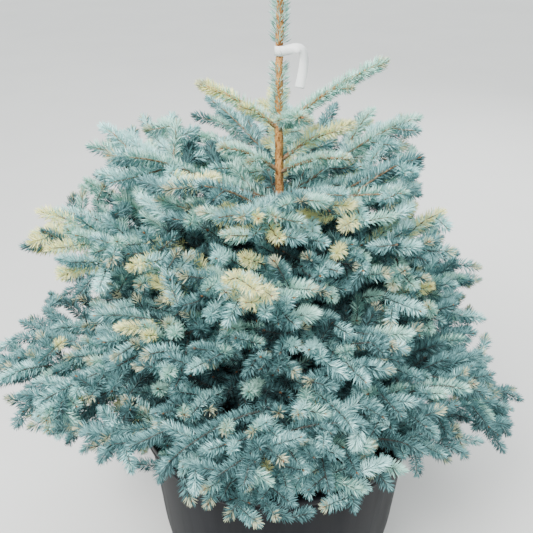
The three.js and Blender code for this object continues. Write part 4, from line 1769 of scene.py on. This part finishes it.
@dataclass(frozen=True)
class LeaderCoat:
    """Needles that stand close along the leader and point up, with none where the label goes round."""

    start: float = 0.574
    per_metre: float = 3300.0
    length: float = 0.0165
    climb: float = math.radians(38)
    label_height: float = 0.682
    bare: Pair = (-0.021, 0.009)
    turn_spread: float = 0.3
    climb_spread: float = 0.12
    # Next to the end bud needles point up more: how much, from what height, and how soon.
    tip_climb: float = 0.35
    tip_from: float = 0.83
    tip_fade: float = 0.02
    sink: float = 0.0008
    jitter: Pair = (0.8, 1.1)
    sage_share: float = 0.6

    def add(self, pile: Pile, trunk: Trunk, coat: NeedleCoat, rng: Rng) -> None:
        """Add the leader's needles to a pile.

        Args:
            pile: The pile.
            trunk: The trunk whose leader it is.
            coat: How needles are made.
            rng: Random numbers.
        """
        count = round((trunk.length - self.start) * self.per_metre)
        above = self.start + (trunk.length - self.start) * (np.arange(count) + rng.random(count)) / count
        past = above - self.label_height
        above = above[(past < self.bare[0]) | (past > self.bare[1])]
        count = len(above)
        bearing = np.arange(count) * GOLDEN_TURN + rng.normal(0, self.turn_spread, count)
        level = np.stack([np.cos(bearing), np.sin(bearing), np.zeros(count)], axis=1)
        climb = self.climb + rng.normal(0, self.climb_spread, count)
        climb = climb + self.tip_climb * np.clip((above - self.tip_from) / self.tip_fade, 0, 1)
        way = level * np.cos(climb)[:, None] + UP * np.sin(climb)[:, None]
        height = trunk.foot + above
        root = trunk.centre(height) + level * (trunk.radius(height) - self.sink)[:, None]
        size = self.length * rng.uniform(*self.jitter, count)
        tints = np.where(rng.random(count) < self.sage_share, Tint.SAGE.number, Tint.GREEN.number)
        coat.add_needles(pile, root, way, size, tints, rng)


@dataclass(frozen=True)
class Wood:
    """Bark-covered wood of boughs and twigs."""

    tip_radius: float = 0.004
    collar: float = 1.2
    collar_ends: float = 0.125
    bough_sides: int = 14
    bough_step: float = 0.003
    relief: float = 0.0003
    # A bough starts this share of the radius inside the trunk and ends this far inside its mass.
    start: float = 0.5
    overlap: float = 0.012
    scales: tuple[int, int] = (2, 1)
    twig_sides: int = 5
    thin_sides: int = 3
    thin: float = 0.0018

    def add_bough(self, pile: Pile, mass: Mass) -> None:
        """Add a bough with its collar and its bark relief, on into its mass.

        Args:
            pile: The pile.
            mass: The mass that it bears.
        """
        inner = mass.tier.inner
        begin = float(mass.crown.trunk.radius(mass.tier.whorl)) * self.start
        s = np.arange(begin, inner + self.overlap, self.bough_step)
        share = np.clip(s / inner, 0, 1)
        radius = (mass.tier.bough + (self.tip_radius - mass.tier.bough) * share)
        radius = radius * (1 + (self.collar - 1) * np.exp(-share / self.collar_ends))
        relief = flat_noise(len(s), self.bough_sides, mass.seed, self.scales) * self.relief
        pile.add(*tube(mass.path(s), radius[:, None] + relief - self.relief, self.bough_sides))

    def add_twig(self, pile: Pile, shoot: Shoot) -> None:
        """Add a shoot's wood, tapered from its foot to its bud."""
        radii = np.linspace(*shoot.wood, len(shoot.line))
        pile.add(*tube(shoot.line, radii, self.twig_sides if shoot.wood[0] > self.thin else self.thin_sides))


@dataclass(frozen=True)
class Buds:
    """Resting buds at the tips of shoots, in their brown scales."""

    radius: float = 0.0022
    length: float = 0.0064
    sides: int = 4
    profile: tuple[float, ...] = (0.7, 1.0, 0.75, 0.12)
    sink: float = 0.2

    def add(self, pile: Pile, shoot: Shoot) -> None:
        """Add the bud at a shoot's tip.

        Args:
            pile: The pile.
            shoot: The shoot.
        """
        ahead = unit(shoot.line[-1] - shoot.line[-2])
        share = np.linspace(0, 1, len(self.profile))
        line = shoot.line[-1] + np.outer((share - self.sink) * self.length * shoot.bud, ahead)
        radii = self.radius * shoot.bud * np.array(self.profile)
        pile.add(*tube(line, radii, self.sides))


@dataclass(frozen=True)
class Pot:
    """The tapered nursery pot: a rounded foot, a bellied wall and a rolled lip, hollow to its floor."""

    foot_radius: float = 0.207
    corner_width: float = 0.025
    corner_height: float = 0.040
    belly_radius: float = 0.246
    belly_height: float = 0.150
    neck_radius: float = 0.261
    lip_radius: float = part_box("pot")[1].x
    lip_depth: float = 0.028
    lip_round: float = 0.004
    # The groove in the lip: its depth, and the heights of its edges above the lip's lower edge.
    groove: float = 0.0007
    groove_heights: tuple[float, ...] = (0.010, 0.011, 0.013, 0.014)
    neck_drop: float = 0.001
    inner_drop: float = 0.006
    lip_steps: int = 5
    height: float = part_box("pot")[1].z
    wall: float = 0.004
    sides: int = 128
    corner_steps: int = 10
    wall_steps: int = 24

    def side(self, inset: float) -> list[Pair]:
        """Give the wall's outline from its foot up to its neck.

        Args:
            inset: How far it is drawn in.

        Returns:
            Radii and heights.
        """
        angles = np.linspace(0, math.pi / 2, self.corner_steps + 1)
        corner = [(self.foot_radius + self.corner_width * math.sin(a) - inset,
                   self.corner_height * (1 - math.cos(a)) + inset) for a in angles]
        lip_foot = self.height - self.lip_depth
        heights = np.linspace(self.corner_height + inset, lip_foot, self.wall_steps)[1:]
        marks = (self.corner_height, self.belly_height, lip_foot)
        widths = (self.foot_radius + self.corner_width, self.belly_radius, self.neck_radius)
        radii = np.interp(heights, marks, widths)
        return corner + [(float(r) - inset, float(z)) for r, z in zip(radii, heights, strict=True)]

    def lip(self) -> list[Pair]:
        """Give the rolled lip's outline, from under its outer edge over to the inner wall.

        Returns:
            Radii and heights.
        """
        low = self.height - self.lip_depth
        turns = np.linspace(0, math.pi / 2, self.lip_steps)
        r = self.lip_round
        under = [(self.lip_radius - r + r * math.sin(a), low + r - r * math.cos(a)) for a in turns]
        over = [(self.lip_radius - r + r * math.cos(a), self.height - r + r * math.sin(a)) for a in turns]
        depths = (0.0, self.groove, self.groove, 0.0)
        edge = [(self.lip_radius - d, low + z) for d, z in zip(depths, self.groove_heights, strict=True)]
        return [*under, *edge, *over, (self.neck_radius, self.height - self.neck_drop),
                (self.neck_radius - self.wall, self.height - self.inner_drop)]

    def build(self, finish: PlasticFinish) -> Piece:
        """Make the pot.

        Args:
            finish: The plastic.

        Returns:
            The piece.
        """
        inner = self.side(self.wall)[::-1]
        profile = np.array([*self.side(0.0), *self.lip(), *inner])
        angle = np.arange(self.sides) / self.sides * FULL_TURN
        rings = np.stack([np.outer(profile[:, 0], np.cos(angle)), np.outer(profile[:, 0], np.sin(angle)),
                          np.repeat(profile[:, 1:], self.sides, axis=1)], axis=-1)
        pile = Pile()
        pile.add(*closed_rings(rings))
        return pile.build("pot_shell", [finish.material()])


@dataclass(frozen=True)
class Soil:
    """The soil in the pot, uneven on top, with loose crumbs and bark chips on it."""

    top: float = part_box("soil")[1].z
    edge_drop: float = 0.007
    flat_radius: float = 0.070
    edge_radius: float = 0.2555
    rings: int = 60
    sides: int = 150
    relief: float = 0.0016
    chips: int = 900
    chip: Pair = (0.003, 0.011)
    trunk_room: float = 0.027
    # Gaps between the bed and the pot's wall, between the wall's soil and the top, and at the top's edge.
    wall_gap: float = 0.0003
    side_gap: float = 0.004
    edge_gap: float = 0.001
    middle_radius: float = 0.004
    # How far crumbs sink, and the radius within which the relief fades out.
    crumb_level: float = 1.3
    fade_radius: float = 0.03
    # Chips: their room at the wall, width and height by length, uneven corners, tilt and depth.
    chip_room: float = 0.012
    chip_width: Pair = (0.25, 0.5)
    chip_height: Pair = (0.12, 0.25)
    chip_jitter: Pair = (0.8, 1.2)
    chip_tilt: float = 0.3
    chip_sink: float = 0.0022
    dry_share: float = 0.4

    def surface(self, radius: Array) -> Array:
        """Give the height of the soil at distances from the middle."""
        share = np.clip((radius - self.flat_radius) / (self.edge_radius - self.flat_radius), 0, 1)
        return self.top - self.edge_drop * share

    def bed(self, pot: Pot) -> Shape:
        """Make the body of soil that fills the pot, with relief on its top.

        Args:
            pot: The pot.

        Returns:
            The points and the triangles.
        """
        inset = pot.wall + self.wall_gap
        end = self.top - self.edge_drop - self.side_gap
        side = np.array([(r, z) for r, z in pot.side(inset) if z < end])
        radius = np.linspace(self.edge_radius - self.edge_gap, self.middle_radius, self.rings)
        top = np.stack([radius, self.surface(radius)], axis=1)
        profile = np.concatenate([side, top])
        angle = np.arange(self.sides) / self.sides * FULL_TURN
        relief = np.zeros((len(profile), self.sides))
        crumbs = flat_noise(self.rings, self.sides, CRUMB_SEED, (1, 1)) - self.crumb_level
        fading = np.clip(radius / self.fade_radius, 0, 1)[:, None]
        relief[len(side):] = np.minimum(crumbs, 0.0) * self.relief * fading
        rings = np.stack([np.outer(profile[:, 0], np.cos(angle)), np.outer(profile[:, 0], np.sin(angle)),
                          profile[:, 1:] + relief], axis=-1)
        return closed_rings(rings)

    def add_chips(self, pile: Pile) -> None:
        """Strew flat chips and crumbs over the soil.

        Args:
            pile: The pile.
        """
        rng = np.random.default_rng(CHIP_SEED)
        corners = np.array([[1, 0, 0], [0.2, 0.8, 0.1], [-1, 0.1, 0],
                            [-0.1, -0.7, 0], [0.1, 0, 1], [0, 0.1, -1]])
        faces = np.array([[0, 1, 4], [1, 2, 4], [2, 3, 4], [3, 0, 4],
                          [1, 0, 5], [2, 1, 5], [3, 2, 5], [0, 3, 5]])
        ends = (self.trunk_room**2, (self.edge_radius - self.chip_room) ** 2)
        for _ in range(self.chips):
            radius = math.sqrt(rng.uniform(*ends))
            bearing, turn = rng.uniform(0, FULL_TURN), rng.uniform(0, FULL_TURN)
            tilt = rng.normal(0, self.chip_tilt)
            length = rng.uniform(*self.chip)
            size = length * np.array([0.5, rng.uniform(*self.chip_width), rng.uniform(*self.chip_height)])
            shape = corners * size * rng.uniform(*self.chip_jitter, (len(corners), 1))
            shape = shape @ np.array([[math.cos(tilt), 0, math.sin(tilt)], [0, 1, 0],
                                      [-math.sin(tilt), 0, math.cos(tilt)]])
            shape = shape @ np.array([[math.cos(turn), math.sin(turn), 0],
                                      [-math.sin(turn), math.cos(turn), 0], [0, 0, 1]])
            height = float(self.surface(np.array(radius))) - self.chip_sink
            place = np.array([radius * math.cos(bearing), radius * math.sin(bearing), height])
            pile.add(shape + place, faces, int(rng.random() < self.dry_share) + 1)

    def build(self, pot: Pot) -> Piece:
        """Make the soil, its dark chips and its dry ones.

        Args:
            pot: The pot that it fills.

        Returns:
            The piece.
        """
        pile = Pile()
        pile.add(*self.bed(pot))
        self.add_chips(pile)
        materials = [EARTH.material(), BARK_CHIPS.material(), DRY_CHIPS.material()]
        return pile.build("soil_bed", materials, smooth=False)


@dataclass(frozen=True)
class Label:
    """A plain strip round the leader, whose free tail arches over to the right and hangs."""

    above: float = 0.682
    width: float = 0.0145
    thickness: float = 0.0009
    slack: float = 0.0008
    sides: int = 40
    steps: int = 72
    tail: tuple[Colour, ...] = (
        (0.003, -0.007, 0.0), (0.015, -0.0095, 0.003), (0.026, -0.009, 0.005), (0.034, -0.006, 0.001),
        (0.037, -0.005, -0.010), (0.036, -0.006, -0.028), (0.031, -0.009, -0.054),
    )
    width_way: tuple[Colour, ...] = ((0, 0, 1), (0, 0.1, 1), (0.1, 0.5, 0.8), (0.6, 0.6, 0.5), (0.9, 0.4, 0),
                                     (1, 0.1, 0), (1, -0.2, -0.2))

    def smooth(self, points: tuple[Colour, ...]) -> Array:
        """Run a smooth line through points.

        Args:
            points: The points.

        Returns:
            The line, in even steps of the points' numbers.
        """
        given = np.array(points, float)
        given = np.concatenate([[2 * given[0] - given[1]], given, [2 * given[-1] - given[-2]]])
        at = np.linspace(0, len(points) - 1 - 1e-9, self.steps)
        k = at.astype(int)
        t = (at - k)[:, None]
        a, b, c, d = given[k], given[k + 1], given[k + 2], given[k + 3]
        squared = (2 * a - 5 * b + 4 * c - d) * t**2
        cubed = (3 * b - a - 3 * c + d) * t**3
        return 0.5 * (2 * b + (c - a) * t + squared + cubed)

    def ribbon(self, centre: Array) -> Shape:
        """Make the free tail.

        Args:
            centre: Middle of the leader behind it.

        Returns:
            The points and the triangles.
        """
        line = self.smooth(self.tail) + centre
        ahead = unit(np.gradient(line, axis=0))
        wide = self.smooth(self.width_way)
        wide = unit(wide - ahead * np.sum(wide * ahead, axis=1, keepdims=True))
        face = np.cross(ahead, wide)
        w, t = self.width / 2, self.thickness / 2
        section = [(-w, -t), (0, -t), (w, -t), (w, t), (0, t), (-w, t)]
        rings = np.stack([line + wide * a + face * b for a, b in section], axis=1)
        return closed_rings(rings)

    def band(self, trunk: Trunk) -> Shape:
        """Make the closed band round the leader.

        Args:
            trunk: The trunk whose leader it is.

        Returns:
            The points and the triangles.
        """
        middle = trunk.foot + self.above
        inner = float(trunk.radius(middle)) + self.slack
        outer = inner + self.thickness
        w = self.width / 2
        section = [(inner, -w), (outer, -w), (outer, 0.0), (outer, w), (inner, w), (inner, 0.0)]
        angle = np.arange(self.sides) / self.sides * FULL_TURN
        centre = trunk.centre(middle)
        rings = np.array([[centre + (r * math.cos(a), r * math.sin(a), z) for r, z in section]
                          for a in angle])
        faces = ring_faces(self.sides + 1, len(section)) % (self.sides * len(section))
        return rings.reshape(-1, 3), faces

    def build(self, trunk: Trunk) -> Piece:
        """Make the label.

        Args:
            trunk: The trunk whose leader it goes round.

        Returns:
            The piece.
        """
        pile = Pile()
        pile.add(*self.band(trunk))
        pile.add(*self.ribbon(trunk.centre(trunk.foot + self.above)))
        return pile.build("label_strip", [FILM.material()])


@dataclass
class Spruce:
    """The whole plant in its pot: grows the crown, then builds and dresses each piece."""

    trunk: Trunk = Trunk()
    palette: Palette = Palette()
    coat: NeedleCoat = NeedleCoat()
    wood: Wood = Wood()
    bark: BarkFinish = BarkFinish("trunk_bark_scales", (0.10, 0.065, 0.045), (0.60, 0.32, 0.115),
                                  (0.45, 0.36, 0.3), (0.62, 0.93))
    bough_bark: BarkFinish = BarkFinish("bough_bark_scales", (0.11, 0.075, 0.055), (0.26, 0.13, 0.07),
                                        (0.5, 0.42, 0.36), (0.45, 0.85))
    twig_bark: BarkFinish = BarkFinish("twig_bark_skin", (0.11, 0.115, 0.110), (0.50, 0.31, 0.15),
                                       (0.7, 0.65, 0.6), (0.80, 1.02), 400.0)
    bud_scales: BarkFinish = BarkFinish("bud_scales", (0.40, 0.19, 0.085), (0.52, 0.26, 0.12),
                                        (0.6, 0.5, 0.4), (0.3, 1.2), 900.0)

    def dress(self, piece: Piece, nodes: Sequence[str]) -> None:
        """Fix a piece to the plant in place of its solids and report it.

        Args:
            piece: The piece.
            nodes: The solids that it stands for.
        """
        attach(piece, BODY)
        if nodes:
            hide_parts(*nodes)
        LOG.info("%s: %d faces", piece.name, len(piece.data.polygons))

    def build(self) -> None:
        """Build every piece of the plant."""
        self.dress(self.trunk.build(self.bark), ["trunk"])
        crown = Crown(self.trunk)
        masses = [mass for index in range(len(TIERS)) for mass in masses_of(crown, index)]
        self.build_boughs(masses)
        grown = {mass: MassGrower(mass, self.palette).run() for mass in masses}
        singles = self.build_leader()
        inner = TrunkShoots().grow(self.trunk, Draws(INNER_SEED))
        tints = [tint.value.material() for tint in Tint]
        self.build_needles(grown, singles, inner, tints)
        shoots = [shoot for part in (*grown.values(), *singles.values(), inner) for shoot in part]
        self.build_twigs(shoots)
        total = sum(self.coat.count(shoot) for shoot in shoots)
        metres = sum(shoot.length for shoot in shoots)
        LOG.info("%d shoots, %.1f m of twig, %d needles", len(shoots), metres, total)

    def build_boughs(self, masses: list[Mass]) -> None:
        """Build the boughs' bark as one piece.

        Args:
            masses: The masses that they bear.
        """
        pile = Pile()
        nodes = []
        for mass in masses:
            if mass.tier.inner > 0:
                self.wood.add_bough(pile, mass)
                nodes.append(f"bough_{mass.tier.name}_{mass.number}")
        self.dress(pile.build("bough_bark", [self.bough_bark.material()]), nodes)

    def build_leader(self) -> dict[str, list[Shoot]]:
        """Grow the shoots round the leader, by the name of the solid that they stand for."""
        draws = Draws(LEADER_SEED)
        return {single.node: single.grow(self.trunk, draws) for single in SINGLE_SHOOTS}

    def build_needles(self, grown: dict[Mass, list[Shoot]], singles: dict[str, list[Shoot]],
                      inner: list[Shoot], tints: list[Material]) -> None:
        """Build the needles, joined tier by tier into pieces of a limited size.

        Args:
            grown: Shoots by mass.
            singles: Shoots round the leader, by solid.
            inner: Shoots on the trunk inside the crown.
            tints: The needles' materials.
        """
        rng = np.random.default_rng(SEED)
        top = Pile()
        for part in (*singles.values(), inner):
            for shoot in part:
                self.coat.add(top, shoot, rng)
        LeaderCoat().add(top, self.trunk, self.coat, rng)
        self.dress(top.build("needles_leader", tints, False), list(singles))
        for tier in TIERS:
            own = {mass: shoots for mass, shoots in grown.items() if mass.tier is tier}
            sizes = {mass: 2 * sum(map(self.coat.count, shoots)) for mass, shoots in own.items()}
            parts = math.ceil(sum(sizes.values()) / PIECE_LIMIT)
            share = sum(sizes.values()) / parts
            made, pile, nodes, done = 0, Pile(), [], 0
            for mass, shoots in own.items():
                for shoot in shoots:
                    self.coat.add(pile, shoot, rng)
                nodes.append(f"foliage_{tier.name}_{mass.number}")
                done += sizes[mass]
                if done >= share * (made + 1) - share * PIECE_SLACK or mass is list(own)[-1]:
                    letter = "abcdef"[made]
                    self.dress(pile.build(f"needles_{tier.name}_{letter}", tints, False), nodes)
                    made, pile, nodes = made + 1, Pile(), []

    def build_twigs(self, shoots: list[Shoot]) -> None:
        """Build the shoots' wood and their buds.

        Args:
            shoots: All shoots.
        """
        wood, buds = Pile(), Pile()
        for shoot in shoots:
            self.wood.add_twig(wood, shoot)
            if shoot.bud > 0:
                Buds().add(buds, shoot)
        self.dress(wood.build("twig_wood", [self.twig_bark.material()]), [])
        self.dress(buds.build("bud_tips", [self.bud_scales.material()]), [])


@dataclass(frozen=True)
class Studio:
    """A pale floor, soft lights and the camera at the photograph's viewing angle."""

    eye: Colour = (-0.024, -1.0, 1.285)
    pitch: float = math.radians(30)
    frame_pixels: int = 533
    focal_pixels: float = 650.0
    sensor: float = 36.0
    floor_size: float = 30.0
    sky: Colour = (0.86, 0.96, 1.0)
    sky_strength: float = 0.32
    sun_strength: float = 5.2
    sun_colour: Colour = (0.95, 0.99, 1.0)
    sun_angle: float = math.radians(70)
    sun_tilt: tuple[float, float, float] = (math.radians(22), math.radians(-14), 0.0)
    # Each light: name, place, the point that it faces, width, power and colour.
    lights: tuple[tuple[str, Colour, Colour, float, float, Colour], ...] = (
        ("key", (-1.2, -1.5, 3.0), (0.0, 0.0, 0.7), 1.4, 125.0, (1.0, 0.985, 0.95)),
        ("back", (1.6, 2.4, 2.4), (0.0, 0.0, 0.6), 2.4, 70.0, (0.97, 1.0, 1.0)),
        ("fill", (2.2, -1.8, 1.8), (0.0, 0.0, 0.6), 2.4, 20.0, (0.95, 0.98, 1.0)),
    )

    def camera(self) -> None:
        """Set the camera."""
        lens = bpy.data.cameras.new("camera")
        lens.sensor_width = self.sensor
        lens.lens = self.sensor * self.focal_pixels / self.frame_pixels
        made = bpy.data.objects.new("camera", lens)
        bpy.context.scene.collection.objects.link(made)
        made.location = self.eye
        made.rotation_euler = (math.pi / 2 - self.pitch, 0.0, 0.0)
        bpy.context.scene.camera = made

    def light(self) -> None:
        """Set the lights and the sky."""
        for name, place, aim, width, power, colour in self.lights:
            lamp = bpy.data.lights.new(name, "AREA")
            lamp.shape = "DISK"
            lamp.size = width
            lamp.energy = power
            lamp.color = colour
            made = bpy.data.objects.new(name, lamp)
            bpy.context.scene.collection.objects.link(made)
            made.location = place
            made.rotation_euler = (Vector(aim) - Vector(place)).to_track_quat("-Z", "Y").to_euler()
        sun = bpy.data.lights.new("overcast", "SUN")
        sun.energy = self.sun_strength
        sun.color = self.sun_colour
        sun.angle = self.sun_angle
        made = bpy.data.objects.new("overcast", sun)
        bpy.context.scene.collection.objects.link(made)
        made.rotation_euler = self.sun_tilt
        world = bpy.data.worlds.new("sky")
        world.use_nodes = True
        background = world.node_tree.nodes["Background"]
        background.inputs["Color"].default_value = (*self.sky, 1.0)
        background.inputs["Strength"].default_value = self.sky_strength
        bpy.context.scene.world = world

    def floor(self) -> None:
        """Lay the floor."""
        half = self.floor_size / 2
        pile = Pile()
        corners = np.array([[-half, -half, 0], [half, -half, 0], [half, half, 0], [-half, half, 0]], float)
        pile.add(corners, np.array([[0, 1, 2], [0, 2, 3]]))
        pile.build("floor", [FloorFinish().material()])


def main() -> None:
    """Build the studio and the plant."""
    logging.basicConfig(level=logging.INFO, format="%(name)s: %(message)s")
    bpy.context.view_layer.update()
    studio = Studio()
    studio.camera()
    studio.light()
    studio.floor()
    spruce = Spruce()
    spruce.build()
    pot = Pot()
    spruce.dress(pot.build(PlasticFinish()), ["pot"])
    spruce.dress(Soil().build(pot), ["soil"])
    spruce.dress(Label().build(spruce.trunk), ["label"])


if __name__ == "__main__":
    main()
